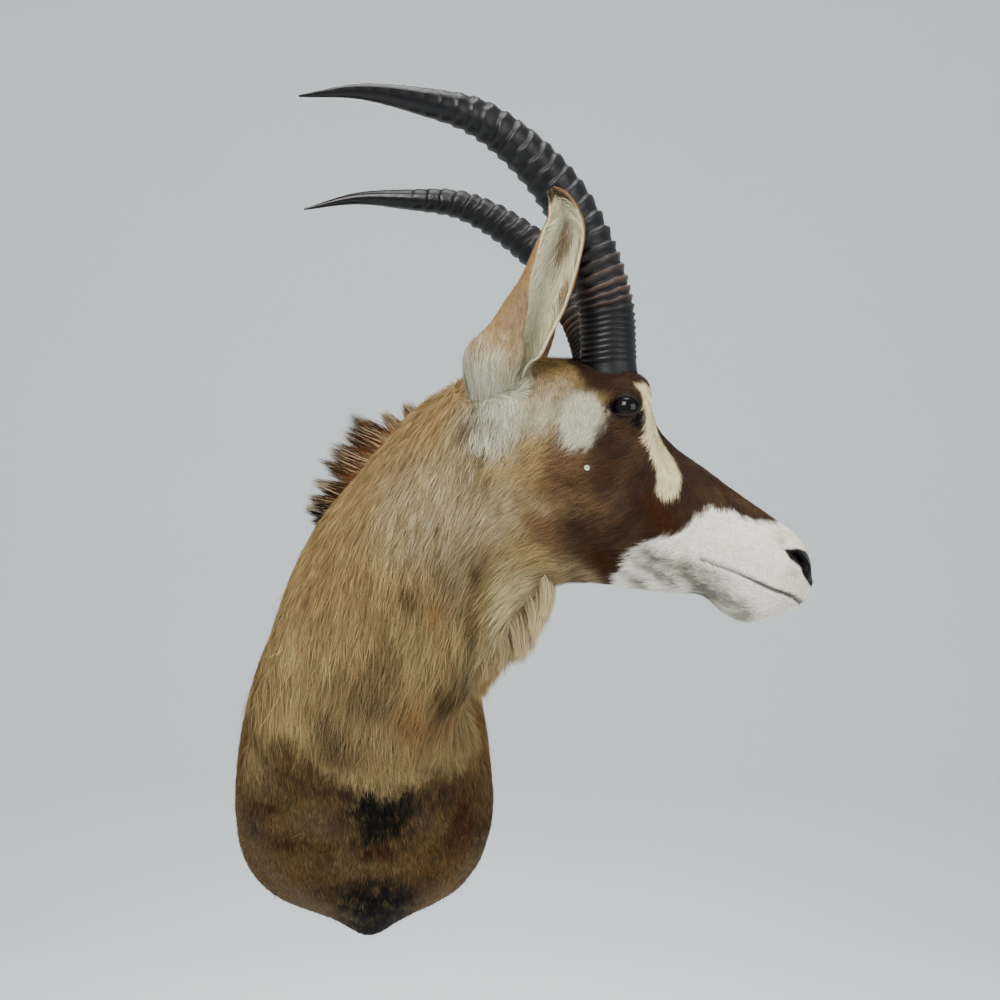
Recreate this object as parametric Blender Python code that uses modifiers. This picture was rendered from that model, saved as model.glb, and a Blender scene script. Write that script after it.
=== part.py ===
"""A roan antelope shoulder mount: cape with ears, mane and beard, horns, glass eyes, back board, hanger.

Metres, +Z up. The wall is the plane Y = 0. The animal looks out of the wall towards -Y, and its head
is turned to its left, towards +X. The origin is on the back face of the board.
"""

import math
from typing import NamedTuple

import bmesh
import bpy
from mathutils import Matrix, Vector
from mathutils.bvhtree import BVHTree

FIT_GAP = 0.0003          # clearance between pieces that touch
WALL_GAP = 0.001          # the cape stops this far short of the wall, so that the board takes the load

# The head's own frame: x runs to the nose, y to the animal's left, z to its crown, from between the eyes
HEAD_ORIGIN = Vector((0.3557, -0.3996, 0.4493))
HEAD_PITCH = math.radians(30)     # the nose is this far below level
HEAD_ROLL = math.radians(16)      # the right side of the face is tipped up by this
HEAD_YAW = math.radians(-2.5)     # the nose is this far from parallel with the wall
NOSE_TIP = Vector((0.3195, 0.0, -0.070))

AROUND = 32               # faces round the cape
RINGS_PER_STATION = 2     # rings of faces from one station to the next

# Eyes
EYE_CENTRE = Vector((0.0, 0.0805, 0.0))
EYE_RADIUS = 0.0185

# Horns
HORN_ROOT = Vector((0.0165, 0.0, -0.0235))     # from where a horn leaves the skin to its end in the cape
HORN_RIDGES = 24
RIDGED_SHARE = 0.74       # share of the horn that carries ridges
LEFT_HORN_SHARE = 0.86    # the left horn's thickness as a share of the right's
RIDGE_HEIGHT = 0.0016     # ridges stand this far above the middle radius, and valleys as far below it
SMOOTH_RINGS = 6          # rings of faces on the smooth tip
HORN_AROUND = 10

# Ears
EAR_THICKNESS = 0.0036
EAR_DEPTH = 0.85          # depth of the ear's hollow as a share of its width
EAR_COLUMNS = 8
EAR_ROWS = 10

# Locks of hair
LOCK_SIDES = 4
LOCK_TIP_RADIUS = 0.0009
LOCK_SUNK = 0.010         # length of a lock inside the skin
MANE_LOCKS = 22
THROAT_LOCKS_ALONG = 4
THROAT_ROWS = (-0.024, 0.0, 0.024)
CHEST_LOCKS = 12
CHEST_LOCK_LENGTH = 0.045
CHEST_LOCK_LIFT = 0.007

# Board and hanger
BOARD_THICKNESS = 0.018
BOARD_SHARE = 0.86        # the board's outline as a share of the cape's at the wall
BOARD_CORNERS = 28
HANGER_SIZE = Vector((0.100, 0.0016, 0.026))
HANGER_HEIGHT = 0.170     # height of the hanger above the origin
KEYHOLE_RADIUS = 0.0065
KEYHOLE_DROP = 0.003      # the keyhole's round end is this far below the plate's middle
SLOT_SIZE = Vector((0.007, 0.02, 0.009))
SLOT_RISE = 0.004
POCKET_SIZE = Vector((0.032, 0.022, 0.022))    # room for the wall screw's head, half of it behind the wall plane
SCREW_SPACING = 0.078
SCREW_HEAD_RADIUS = 0.0042
SHANK_RADIUS = 0.0018
SHANK_LENGTH = 0.011


class Station(NamedTuple):
    """One cross-section of the cape, spanned by its nape and throat points and its right-hand side."""

    nape: tuple
    throat: tuple
    side: tuple
    half_width: float
    widest: float       # where it is widest, as a share of the way from nape to throat
    top_power: float    # superellipse powers: 2 is round, more is squarer, less is leaner
    throat_power: float


# From the wall to the top of the neck, in the mount's frame
BODY_STATIONS = (
    Station((0.000, -WALL_GAP, 0.280), (-0.008, -WALL_GAP, -0.281), (-1, 0, 0), 0.194, 0.69, 2.0, 2.6),
    Station((-0.003, -0.050, 0.292), (0.003, -0.060, -0.280), (-1, 0, 0), 0.192, 0.68, 1.6, 1.9),
    Station((-0.008, -0.100, 0.303), (0.013, -0.120, -0.264), (-1, -0.05, 0), 0.181, 0.65, 1.3, 1.8),
    Station((-0.015, -0.150, 0.313), (0.022, -0.175, -0.232), (-0.98, -0.17, 0), 0.167, 0.62, 1.15, 1.8),
    Station((-0.026, -0.195, 0.318), (0.035, -0.215, -0.172), (-0.95, -0.30, 0), 0.155, 0.59, 1.12, 1.9),
    Station((-0.037, -0.232, 0.322), (0.050, -0.245, -0.095), (-0.90, -0.43, 0), 0.146, 0.56, 1.2, 2.0),
    Station((-0.014, -0.260, 0.350), (0.075, -0.275, -0.020), (-0.80, -0.60, 0), 0.138, 0.54, 1.4, 2.0),
    Station((0.020, -0.285, 0.381), (0.110, -0.305, 0.045), (-0.65, -0.76, 0), 0.130, 0.51, 1.65, 2.0),
    Station((0.058, -0.310, 0.427), (0.150, -0.345, 0.105), (-0.45, -0.89, 0.05), 0.122, 0.49, 1.85, 2.0),
    Station((0.096, -0.335, 0.471), (0.195, -0.378, 0.160), (-0.25, -0.96, 0.10), 0.114, 0.47, 2.0, 2.0),
    Station((0.146, -0.370, 0.503), (0.235, -0.405, 0.205), (-0.10, -0.98, 0.18), 0.107, 0.44, 2.0, 2.0),
    Station((0.192, -0.391, 0.525), (0.262, -0.430, 0.238), (0.05, -0.97, 0.22), 0.103, 0.42, 2.0, 2.0),
)

# From the poll to the nose, in the head's frame
HEAD_STATIONS = (
    Station((-0.1385, 0, 0.0166), (0.038, 0, -0.214), (0, -1, 0), 0.099, 0.40, 2.0, 2.1),
    Station((-0.090, 0, 0.043), (0.060, 0, -0.199), (0, -1, 0), 0.093, 0.36, 2.1, 2.1),
    Station((-0.045, 0, 0.060), (0.083, 0, -0.188), (0, -1, 0), 0.088, 0.32, 2.3, 2.0),
    Station((-0.003, 0, 0.057), (0.104, 0, -0.180), (0, -1, 0), 0.083, 0.29, 2.4, 1.9),
    Station((0.034, 0, 0.028), (0.124, 0, -0.172), (0, -1, 0), 0.076, 0.29, 1.7, 1.8),
    Station((0.070, 0, 0.0135), (0.143, 0, -0.165), (0, -1, 0), 0.067, 0.31, 1.6, 1.8),
    Station((0.120, 0, 0.0070), (0.168, 0, -0.155), (0, -1, 0), 0.056, 0.38, 1.8, 1.9),
    Station((0.177, 0, 0.0005), (0.201, 0, -0.1425), (0, -1, 0), 0.049, 0.46, 2.0, 2.0),
    Station((0.2375, 0, -0.0048), (0.240, 0, -0.143), (0, -1, 0), 0.047, 0.52, 2.0, 2.1),
    Station((0.265, 0, -0.0085), (0.266, 0, -0.139), (0, -1, 0), 0.044, 0.52, 2.0, 2.1),
    Station((0.288, 0, -0.0195), (0.285, 0, -0.124), (0, -1, 0), 0.038, 0.52, 2.0, 2.1),
    Station((0.303, 0, -0.032), (0.300, 0, -0.106), (0, -1, 0), 0.030, 0.50, 2.0, 2.1),
    Station((0.313, 0, -0.047), (0.313, 0, -0.089), (0, -1, 0), 0.018, 0.50, 2.0, 2.0),
)


class Bump(NamedTuple):
    """A swelling or hollow: points near its centre are pushed, less so as they lie further off."""

    centre: tuple
    reach: tuple
    push: tuple


# In the head's frame, on the left side, and mirrored to the right
FACE_BUMPS = (
    Bump((0.000, 0.080, 0.008), (0.030, 0.04, 0.024), (0.0, 0.008, 0.004)),     # eye socket rim
    Bump((0.002, 0.060, 0.044), (0.030, 0.03, 0.018), (0.0, 0.007, 0.006)),     # brow
    Bump((0.072, 0.060, -0.028), (0.026, 0.03, 0.022), (0.0, -0.006, 0.0)),     # hollow before the eye
    Bump((0.030, 0.075, -0.045), (0.060, 0.03, 0.014), (0.0, 0.005, 0.0)),      # cheek bone
    Bump((0.060, 0.060, -0.125), (0.050, 0.05, 0.045), (0.0, 0.009, 0.0)),      # cheek muscle
    Bump((-0.055, 0.085, 0.005), (0.022, 0.04, 0.025), (0.0, -0.005, 0.0)),     # temple
    Bump((-0.140, 0.090, -0.078), (0.042, 0.05, 0.045), (0.0, 0.016, 0.0)),     # ear root
    Bump((0.284, 0.032, -0.038), (0.018, 0.03, 0.018), (0.0, 0.006, 0.002)),    # nostril wing
    Bump((0.200, 0.045, -0.085), (0.050, 0.03, 0.020), (0.0, 0.004, 0.0)),      # upper lip
    Bump((0.205, 0.000, -0.148), (0.022, 0.05, 0.018), (0.0, 0.0, 0.003)),      # dip behind the chin
)

# In the mount's frame
BODY_BUMPS = (
    Bump((0.012, -0.085, -0.285), (0.036, 0.07, 0.05), (0.0, -0.010, -0.014)),  # keel of the brisket
)

# The right horn's centre line and radii at equal steps from the skin to the tip, in the head's frame
HORN_LINE = (
    ((-0.049, -0.0385, 0.056), 0.0358),
    ((-0.090, -0.062, 0.114), 0.0350),
    ((-0.145, -0.083, 0.161), 0.0336),
    ((-0.206, -0.102, 0.197), 0.0310),
    ((-0.276, -0.120, 0.216), 0.0275),
    ((-0.349, -0.135, 0.217), 0.0229),
    ((-0.417, -0.149, 0.191), 0.0169),
    ((-0.483, -0.160, 0.157), 0.0099),
    ((-0.539, -0.170, 0.108), 0.0014),
)


class EarRow(NamedTuple):
    """A level of the right ear, in the head's frame: a rolled strip that is open towards its facing."""

    middle: tuple
    radius: float
    facing: float       # degrees from straight ahead, round to straight out
    opening: float      # half the angle of the opening, in degrees


EAR = (
    EarRow((-0.142, -0.062, -0.092), 0.034, 20, 10),
    EarRow((-0.154, -0.079, -0.055), 0.038, 20, 12),
    EarRow((-0.161, -0.092, -0.020), 0.037, 26, 20),
    EarRow((-0.162, -0.100, 0.005), 0.036, 40, 38),
    EarRow((-0.162, -0.104, 0.040), 0.034, 52, 50),
    EarRow((-0.163, -0.110, 0.072), 0.031, 68, 60),
    EarRow((-0.169, -0.120, 0.109), 0.029, 78, 66),
    EarRow((-0.178, -0.133, 0.142), 0.025, 86, 72),
    EarRow((-0.188, -0.141, 0.158), 0.019, 88, 74),
    EarRow((-0.202, -0.147, 0.169), 0.013, 88, 72),
    EarRow((-0.218, -0.152, 0.174), 0.006, 88, 70),
)

# Where locks grow and where their tips reach, in the mount's frame
MANE_ROOTS = ((0.104, -0.340, 0.466), (0.058, -0.315, 0.424), (0.014, -0.283, 0.374), (-0.028, -0.250, 0.334))
MANE_TIPS = ((0.106, -0.336, 0.482), (0.067, -0.320, 0.485), (0.034, -0.310, 0.474), (0.006, -0.300, 0.461),
             (-0.016, -0.290, 0.441), (-0.036, -0.280, 0.418), (-0.027, -0.275, 0.399), (-0.048, -0.270, 0.382),
             (-0.064, -0.260, 0.366), (-0.061, -0.250, 0.342), (-0.046, -0.240, 0.320))
MANE_SPREAD = Vector((-0.004, -0.005, 0.0))
THROAT_ROOTS = ((0.272, -0.445, 0.250), (0.243, -0.415, 0.216), (0.208, -0.390, 0.178), (0.168, -0.358, 0.130))
THROAT_TIPS = ((0.268, -0.428, 0.192), (0.262, -0.410, 0.158), (0.244, -0.400, 0.130), (0.222, -0.390, 0.113),
               (0.198, -0.383, 0.100), (0.174, -0.370, 0.078))
THROAT_ACROSS = Vector((-0.20, -0.95, 0.10))
CHEST_LINE = ((-0.118, 0.008), (-0.072, -0.008), (-0.031, -0.026), (0.011, -0.047), (0.046, -0.060),
              (0.080, -0.050), (0.122, -0.031), (0.152, -0.017))     # x and z of the lowest tips, seen from -Y

# The mouth line on the right side, from its corner to near the middle of the lips: x and z in the head's frame
MOUTH_LINE = ((0.178, -0.1145), (0.205, -0.112), (0.235, -0.108), (0.262, -0.105), (0.285, -0.101), (0.302, -0.095))
MOUTH_FRONT = Vector((0.3135, 0.0, -0.087))
MOUTH_GROOVE_RADIUS = 0.0024
NOSTRIL_CENTRE = Vector((0.294, 0.028, -0.036))
NOSTRIL_REACH = Vector((0.015, 0.009, 0.0075))
NOSTRIL_SLANT = (math.radians(35), math.radians(25))

# Colour, roughness and metallic value of each material
FINISHES = {
    "coat": ((0.30, 0.21, 0.12), 0.85, 0.0),
    "horn": ((0.025, 0.022, 0.022), 0.40, 0.0),
    "glass": ((0.010, 0.008, 0.007), 0.05, 0.0),
    "plywood": ((0.52, 0.36, 0.20), 0.75, 0.0),
    "zinc": ((0.62, 0.62, 0.60), 0.35, 1.0),
}


def head_matrix():
    """Places the head's frame in the mount's frame."""
    tilt = Matrix.Rotation(HEAD_PITCH, 4, "Y") @ Matrix.Rotation(-HEAD_ROLL, 4, "X")
    return Matrix.Translation(HEAD_ORIGIN) @ Matrix.Rotation(HEAD_YAW, 4, "Z") @ tilt


HEAD = head_matrix()
WALL_TO_ROD = Matrix.Rotation(math.radians(90), 4, "X")     # lays a cone on its side, its base to the wall


def mirrored(point, side):
    """The point on the right side for side -1, and its mirror image on the left for side 1."""
    return Vector((point[0], abs(point[1]) * side, point[2]))


def between(values, place):
    """A smooth curve through equally spaced values; place runs from 0 to len(values) - 1."""
    last = len(values) - 1
    i = min(int(place), last - 1)
    t = place - i
    p1, p2 = values[i], values[i + 1]
    p0 = values[i - 1] if i > 0 else p1 * 2 - p2
    p3 = values[i + 2] if i + 2 <= last else p2 * 2 - p1
    return (p1 * 2 + (p2 - p0) * t + (p0 * 2 - p1 * 5 + p2 * 4 - p3) * t ** 2
            + (p1 * 3 - p0 - p2 * 3 + p3) * t ** 3) * 0.5


def along(points, share):
    """The point of a smooth curve at this share of its way."""
    return between([Vector(p) for p in points], share * (len(points) - 1))


def station_columns():
    """All stations in the mount's frame, as one list for each of a station's values."""
    rotation = HEAD.to_3x3()
    stations = [s._replace(nape=Vector(s.nape), throat=Vector(s.throat), side=Vector(s.side)) for s in BODY_STATIONS]
    for s in HEAD_STATIONS:
        stations.append(s._replace(nape=HEAD @ Vector(s.nape), throat=HEAD @ Vector(s.throat),
                                   side=rotation @ Vector(s.side)))
    return [list(column) for column in zip(*stations)]


STATION_COLUMNS = station_columns()
LAST_STATION = len(STATION_COLUMNS[0]) - 1


def section_point(place, angle):
    """A point of the cape: place counts stations, angle runs from the nape round the right side."""
    nape, throat, side, width, widest, top, low = (between(column, place) for column in STATION_COLUMNS)
    c, s = math.cos(angle), math.sin(angle)
    power = top if c >= 0 else low
    reach = abs(c) ** (2 / power)
    share = widest * (1 - reach) if c >= 0 else widest + (1 - widest) * reach
    across = math.copysign(abs(s) ** (2 / power), s) * width
    return nape + (throat - nape) * share + side.normalized() * across


def pushed(point, bump, side=1):
    """How far a bump moves a point, with the bump mirrored for side -1."""
    centre = mirrored(bump.centre, side) if side < 0 else Vector(bump.centre)
    away = [(point[i] - centre[i]) / bump.reach[i] for i in range(3)]
    return Vector((bump.push[0], bump.push[1] * side, bump.push[2])) * math.exp(-sum(a * a for a in away))


def shaped(point):
    """The point after the bumps of the body and the face have moved it."""
    for bump in BODY_BUMPS:
        point = point + pushed(point, bump)
    inside = HEAD.inverted() @ point
    moved = inside.copy()
    for bump in FACE_BUMPS:
        moved += pushed(inside, bump) + pushed(inside, bump, -1)
    return HEAD @ moved


def material(name):
    made = bpy.data.materials.get(name)
    if made is None:
        made = bpy.data.materials.new(name)
        made.use_nodes = True
        shader = made.node_tree.nodes["Principled BSDF"]
        colour, roughness, metallic = FINISHES[name]
        shader.inputs["Base Color"].default_value = (*colour, 1)
        shader.inputs["Roughness"].default_value = roughness
        shader.inputs["Metallic"].default_value = metallic
    return made


def new_object(name, bm, collection, finish=None):
    """Makes the bmesh an object; one without a finish is a cutter or an addition, and isn't a piece."""
    bmesh.ops.triangulate(bm, faces=bm.faces)
    bm.normal_update()
    bmesh.ops.recalc_face_normals(bm, faces=bm.faces)
    mesh = bpy.data.meshes.new(name)
    bm.to_mesh(mesh)
    bm.free()
    obj = bpy.data.objects.new(name, mesh)
    collection.objects.link(obj)
    if finish:
        mesh.materials.append(material(finish))
        mesh.shade_smooth()
        mesh.set_sharp_from_angle(angle=math.radians(50))
    else:
        obj.hide_render = True
        obj.display_type = "WIRE"
    return obj


def modify(obj, kind, **settings):
    modifier = obj.modifiers.new(kind.title(), kind)
    for name, value in settings.items():
        setattr(modifier, name, value)


def combine(obj, operation, others):
    """Joins the others to a piece, or cuts them from it, in one step."""
    group = bpy.data.collections.new(f"{obj.name}_{operation.lower()}")
    for other in others:
        group.objects.link(other)
    modify(obj, "BOOLEAN", operation=operation, operand_type="COLLECTION", collection=group, solver="EXACT")


def wrapped_grid(columns, rows, place):
    """A grid bent onto the surface place(u, v), closed round u; both run from 0 to 1."""
    bm = bmesh.new()
    bmesh.ops.create_grid(bm, x_segments=columns, y_segments=rows, size=0.5)
    for vertex in bm.verts:
        u = round((vertex.co.x + 0.5) * columns)
        vertex.co = place((u % columns) / columns, vertex.co.y + 0.5)
    bmesh.ops.remove_doubles(bm, verts=bm.verts, dist=1e-6)
    return bm


def fill_ends(bm):
    bmesh.ops.holes_fill(bm, edges=[e for e in bm.edges if e.is_boundary], sides=0)


def tube(rings, around):
    """A closed tube through a list of centres with their radii."""
    last = len(rings) - 1

    def place(u, v):
        i = round(v * last)
        ahead, behind = rings[min(i + 1, last)][0], rings[max(i - 1, 0)][0]
        turn = Vector((0, 0, 1)).rotation_difference(ahead - behind)
        centre, radius = rings[i]
        return centre + turn @ Vector((math.cos(u * math.tau), math.sin(u * math.tau), 0)) * radius

    bm = wrapped_grid(around, last, place)
    fill_ends(bm)
    return bm


def cape_body(collection):
    """Shoulders, neck and head as one loft, flat at the wall and rounded at the nose."""
    bm = wrapped_grid(AROUND, LAST_STATION * RINGS_PER_STATION,
                      lambda u, v: shaped(section_point(v * LAST_STATION, u * math.tau)))
    nose_edges = [e for e in bm.edges if e.is_boundary and e.verts[0].co.y < -0.1]
    tip = bmesh.ops.extrude_edge_only(bm, edges=nose_edges)["geom"]
    tip_verts = [g for g in tip if isinstance(g, bmesh.types.BMVert)]
    bmesh.ops.pointmerge(bm, verts=tip_verts, merge_co=HEAD @ NOSE_TIP)
    fill_ends(bm)
    return new_object("cape", bm, collection, "coat")


def ear(side, collection):
    """A leaf-shaped ear rolled round its middle line, with a real thickness."""
    middles, radii, facings, openings = (list(column) for column in zip(*EAR))
    middles = [Vector(middle) for middle in middles]
    last = len(EAR) - 1
    bm = bmesh.new()
    bmesh.ops.create_grid(bm, x_segments=EAR_COLUMNS, y_segments=EAR_ROWS, size=0.5)
    for vertex in bm.verts:
        level = (vertex.co.y + 0.5) * last
        facing = math.radians(between(facings, level))
        opening = math.radians(between(openings, level))
        angle = facing + math.pi + vertex.co.x * 2 * (math.pi - opening)
        upward = (between(middles, min(level + 0.1, last)) - between(middles, max(level - 0.1, 0))).normalized()
        ahead = Vector((1, 0, 0)) - upward * upward.x
        outward = ahead.cross(upward) * EAR_DEPTH
        rolled = (ahead * math.cos(angle) + outward * math.sin(angle)) / ahead.length * between(radii, level)
        point = between(middles, level) + rolled
        vertex.co = HEAD @ Vector((point.x, -point.y * side, point.z))
    obj = new_object(f"ear_{side}", bm, collection)
    modify(obj, "SOLIDIFY", thickness=EAR_THICKNESS, offset=0.0)
    return obj


def horn_rings(side, gap=0.0):
    """Centres and radii of a horn's rings, from its end inside the cape to its tip."""
    points = [mirrored(point, side) for point, radius in HORN_LINE]
    thickness = LEFT_HORN_SHARE if side > 0 else 1
    radii = [radius * thickness for point, radius in HORN_LINE]
    last = len(points) - 1
    ridged = [RIDGED_SHARE * i / (2 * HORN_RIDGES) for i in range(2 * HORN_RIDGES + 1)]
    smooth = [RIDGED_SHARE + (1 - RIDGED_SHARE) * (i + 1) / SMOOTH_RINGS for i in range(SMOOTH_RINGS)]
    rings = [(points[0] + HORN_ROOT * (1 + gap / HORN_ROOT.length), radii[0] + gap)]
    for i, share in enumerate(ridged + smooth):
        relief = RIDGE_HEIGHT * (-1) ** i if share < RIDGED_SHARE else 0
        rings.append((between(points, share * last), between(radii, share * last) + relief + gap))
    return rings


def horn(name, side, collection):
    bm = tube(horn_rings(side), HORN_AROUND)
    bmesh.ops.transform(bm, matrix=HEAD, verts=bm.verts)
    return new_object(name, bm, collection, "horn")


def horn_seat(side, collection):
    """The cutter that leaves room for a horn's root in the cape."""
    root, *rings = horn_rings(side, gap=FIT_GAP + RIDGE_HEIGHT)
    bm = tube([root, rings[0], rings[3], rings[6]], HORN_AROUND)
    bmesh.ops.transform(bm, matrix=HEAD, verts=bm.verts)
    return new_object(f"horn_seat_{side}", bm, collection)


def eyeball(side, radius):
    bm = bmesh.new()
    bmesh.ops.create_uvsphere(bm, u_segments=14, v_segments=8, radius=radius,
                              matrix=Matrix.Translation(HEAD @ mirrored(EYE_CENTRE, side)))
    return bm


def eye_socket(side, collection):
    return new_object(f"eye_socket_{side}", eyeball(side, EYE_RADIUS + FIT_GAP * 1.5), collection)


def nostril(side, collection):
    """A slanting ellipsoid cutter that opens the nostril."""
    bm = bmesh.new()
    slant = (Matrix.Rotation(NOSTRIL_SLANT[0], 4, "Y") @ Matrix.Rotation(-NOSTRIL_SLANT[1] * side, 4, "Z"))
    place = HEAD @ Matrix.Translation(mirrored(NOSTRIL_CENTRE, side)) @ slant
    bmesh.ops.create_uvsphere(bm, u_segments=10, v_segments=7, radius=1,
                              matrix=place @ Matrix.Diagonal((*NOSTRIL_REACH, 1)))
    return new_object(f"nostril_{side}", bm, collection)


def mouth_groove(skin, collection):
    """A thin tube laid along the lips on both sides, cut out to part them."""
    right = []
    for x, z in MOUTH_LINE:
        start = HEAD @ Vector((x, -0.2, z))
        right.append(HEAD.inverted() @ skin.ray_cast(start, HEAD.to_3x3() @ Vector((0, 1, 0)))[0])
    line = right + [MOUTH_FRONT] + [mirrored(p, 1) for p in reversed(right)]
    bm = tube([(HEAD @ point, MOUTH_GROOVE_RADIUS) for point in line], 8)
    return new_object("mouth_groove", bm, collection)


def lock(name, root, tip, width, collection):
    """A tapering lock of hair that starts under the skin."""
    start = root - (tip - root).normalized() * LOCK_SUNK
    turn = Vector((0, 0, 1)).rotation_difference(tip - start).to_matrix().to_4x4()
    bm = bmesh.new()
    bmesh.ops.create_cone(bm, cap_ends=True, segments=LOCK_SIDES, radius1=width, radius2=LOCK_TIP_RADIUS,
                          depth=(tip - start).length, matrix=Matrix.Translation((start + tip) / 2) @ turn)
    return new_object(name, bm, collection)


def mane(collection):
    """Two rows of stiff locks that stand up along the nape."""
    for i in range(MANE_LOCKS):
        share = i / (MANE_LOCKS - 1)
        spread = MANE_SPREAD * (i % 3 - 1)
        root, tip = along(MANE_ROOTS, share) + spread, along(MANE_TIPS, share) + spread * 1.5
        yield lock(f"mane_{i}", root, tip + (root - tip) * 0.08 * (i % 2), 0.0075, collection)


def beard(collection):
    """Rows of longer locks that hang from the throat."""
    for row, offset in enumerate(THROAT_ROWS):
        for i in range(THROAT_LOCKS_ALONG):
            share = (i + 0.3 * row) / (THROAT_LOCKS_ALONG - 0.4)
            across = THROAT_ACROSS * offset
            tip = along(THROAT_TIPS, share) + across * 0.6
            yield lock(f"beard_{row}_{i}", along(THROAT_ROOTS, share) + across, tip, 0.012, collection)


def chest_fringe(skin, collection):
    """The ragged lower edge of the chest's long hair, lock by lock."""
    for i in range(CHEST_LOCKS):
        x, z = along([(*point, 0) for point in CHEST_LINE], i / (CHEST_LOCKS - 1)).xy
        z += 0.012 * (i % 2)
        root = skin.ray_cast(Vector((x, -1, z + CHEST_LOCK_LENGTH)), Vector((0, 1, 0)))[0]
        end, normal = skin.ray_cast(Vector((x, -1, z)), Vector((0, 1, 0)))[:2]
        yield lock(f"chest_{i}", root, end + normal * CHEST_LOCK_LIFT, 0.009, collection)


def board_blank(grow, front, back):
    """A flat board of the cape's outline, from the plane Y = front to the plane Y = back."""
    centre = (section_point(0, 0) + section_point(0, math.pi)) / 2
    bm = bmesh.new()
    bmesh.ops.create_cone(bm, cap_ends=True, segments=BOARD_CORNERS, radius1=1, radius2=1, depth=2)
    for vertex in bm.verts:
        outward = section_point(0, math.atan2(vertex.co.x, vertex.co.y)) - centre
        place = centre + outward * BOARD_SHARE + outward.normalized() * grow
        vertex.co = Vector((place.x, back if vertex.co.z > 0 else front, place.z))
    return bm


def box(name, centre, size, collection, finish=None):
    bm = bmesh.new()
    bmesh.ops.create_cube(bm, size=1, matrix=Matrix.Translation(centre) @ Matrix.Diagonal((*size, 1)))
    return new_object(name, bm, collection, finish)


def rod(name, centre, radius, length, collection, finish=None, front_radius=None):
    """A round piece along Y, which may taper towards its front."""
    bm = bmesh.new()
    bmesh.ops.create_cone(bm, cap_ends=True, segments=10, radius1=radius, radius2=front_radius or radius,
                          depth=length, matrix=Matrix.Translation(centre) @ WALL_TO_ROD)
    return new_object(name, bm, collection, finish)


def build_cape(mount, helpers):
    cape = cape_body(mount)
    bm = bmesh.new()
    bm.from_mesh(cape.data)
    skin = BVHTree.FromBMesh(bm)
    bm.free()
    combine(cape, "UNION", [ear(side, helpers) for side in (-1, 1)])
    combine(cape, "UNION", [*mane(helpers), *beard(helpers), *chest_fringe(skin, helpers)])
    combine(cape, "DIFFERENCE", [make(side, helpers) for make in (horn_seat, eye_socket, nostril) for side in (-1, 1)])
    pocket = new_object("board_pocket", board_blank(FIT_GAP, -BOARD_THICKNESS - FIT_GAP, 0.01), helpers)
    combine(cape, "DIFFERENCE", [mouth_groove(skin, helpers), pocket])


def screw_places():
    return ((name, Vector((side * SCREW_SPACING / 2, 0, HANGER_HEIGHT)))
            for name, side in (("hanger_screw_left", -1), ("hanger_screw_right", 1)))


def build_board(mount, helpers):
    """The plywood board, let in for the hanger plate and hollowed behind it for the wall screw's head."""
    board = new_object("back_board", board_blank(0, -BOARD_THICKNESS, 0), mount, "plywood")
    at_hanger = Vector((0, 0, HANGER_HEIGHT))
    gaps = Vector((2 * FIT_GAP, HANGER_SIZE.y + 2 * FIT_GAP, 2 * FIT_GAP))
    cutters = [box("hanger_recess", at_hanger, HANGER_SIZE + gaps, helpers),
               box("screw_pocket", at_hanger, POCKET_SIZE, helpers)]
    for name, place in screw_places():
        cutters.append(rod(f"{name}_pilot", place, SHANK_RADIUS + FIT_GAP, 2 * SHANK_LENGTH + 0.004, helpers))
    combine(board, "DIFFERENCE", cutters)


def build_hanger(mount, helpers):
    """A steel plate with a keyhole, flush with the board's back, and its two countersunk screws."""
    middle = Vector((0, -HANGER_SIZE.y / 2, HANGER_HEIGHT))
    plate = box("hanger_plate", middle, HANGER_SIZE, mount, "zinc")
    cutters = [rod("keyhole_round", middle - Vector((0, 0, KEYHOLE_DROP)), KEYHOLE_RADIUS, SLOT_SIZE.y, helpers),
               box("keyhole_slot", middle + Vector((0, 0, SLOT_RISE)), SLOT_SIZE, helpers)]
    for name, place in screw_places():
        seat = place + Vector((0, middle.y, 0))
        cutters.append(rod(f"{name}_sink", seat, SCREW_HEAD_RADIUS + 2 * FIT_GAP, HANGER_SIZE.y * 1.1, helpers,
                           front_radius=SHANK_RADIUS + 2 * FIT_GAP))
        head = rod(name, seat, SCREW_HEAD_RADIUS, HANGER_SIZE.y * 0.9, mount, "zinc", front_radius=SHANK_RADIUS)
        shank = rod(f"{name}_shank", place - Vector((0, SHANK_LENGTH / 2, 0)), SHANK_RADIUS * 0.98, SHANK_LENGTH,
                    helpers)
        combine(head, "UNION", [shank])
    combine(plate, "DIFFERENCE", cutters)


def main():
    for obj in list(bpy.data.objects):
        bpy.data.objects.remove(obj)
    mount = bpy.data.collections.new("roan_shoulder_mount")
    helpers = bpy.data.collections.new("cutters_and_additions")
    for collection in (mount, helpers):
        bpy.context.scene.collection.children.link(collection)
    build_cape(mount, helpers)
    for name, side in (("right", -1), ("left", 1)):
        horn(f"horn_{name}", side, mount)
        new_object(f"eye_{name}", eyeball(side, EYE_RADIUS), mount, "glass")
    build_board(mount, helpers)
    build_hanger(mount, helpers)


main()
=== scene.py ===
"""Looks of the roan antelope shoulder mount: skin, coat, ears, mane, beard, horns, eyes, board and hanger.

Metres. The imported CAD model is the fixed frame, and every piece is made in its place round it.
"""

import math
from typing import NamedTuple

import bmesh
import bpy
import numpy as np
from mathutils import Matrix, Vector


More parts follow.
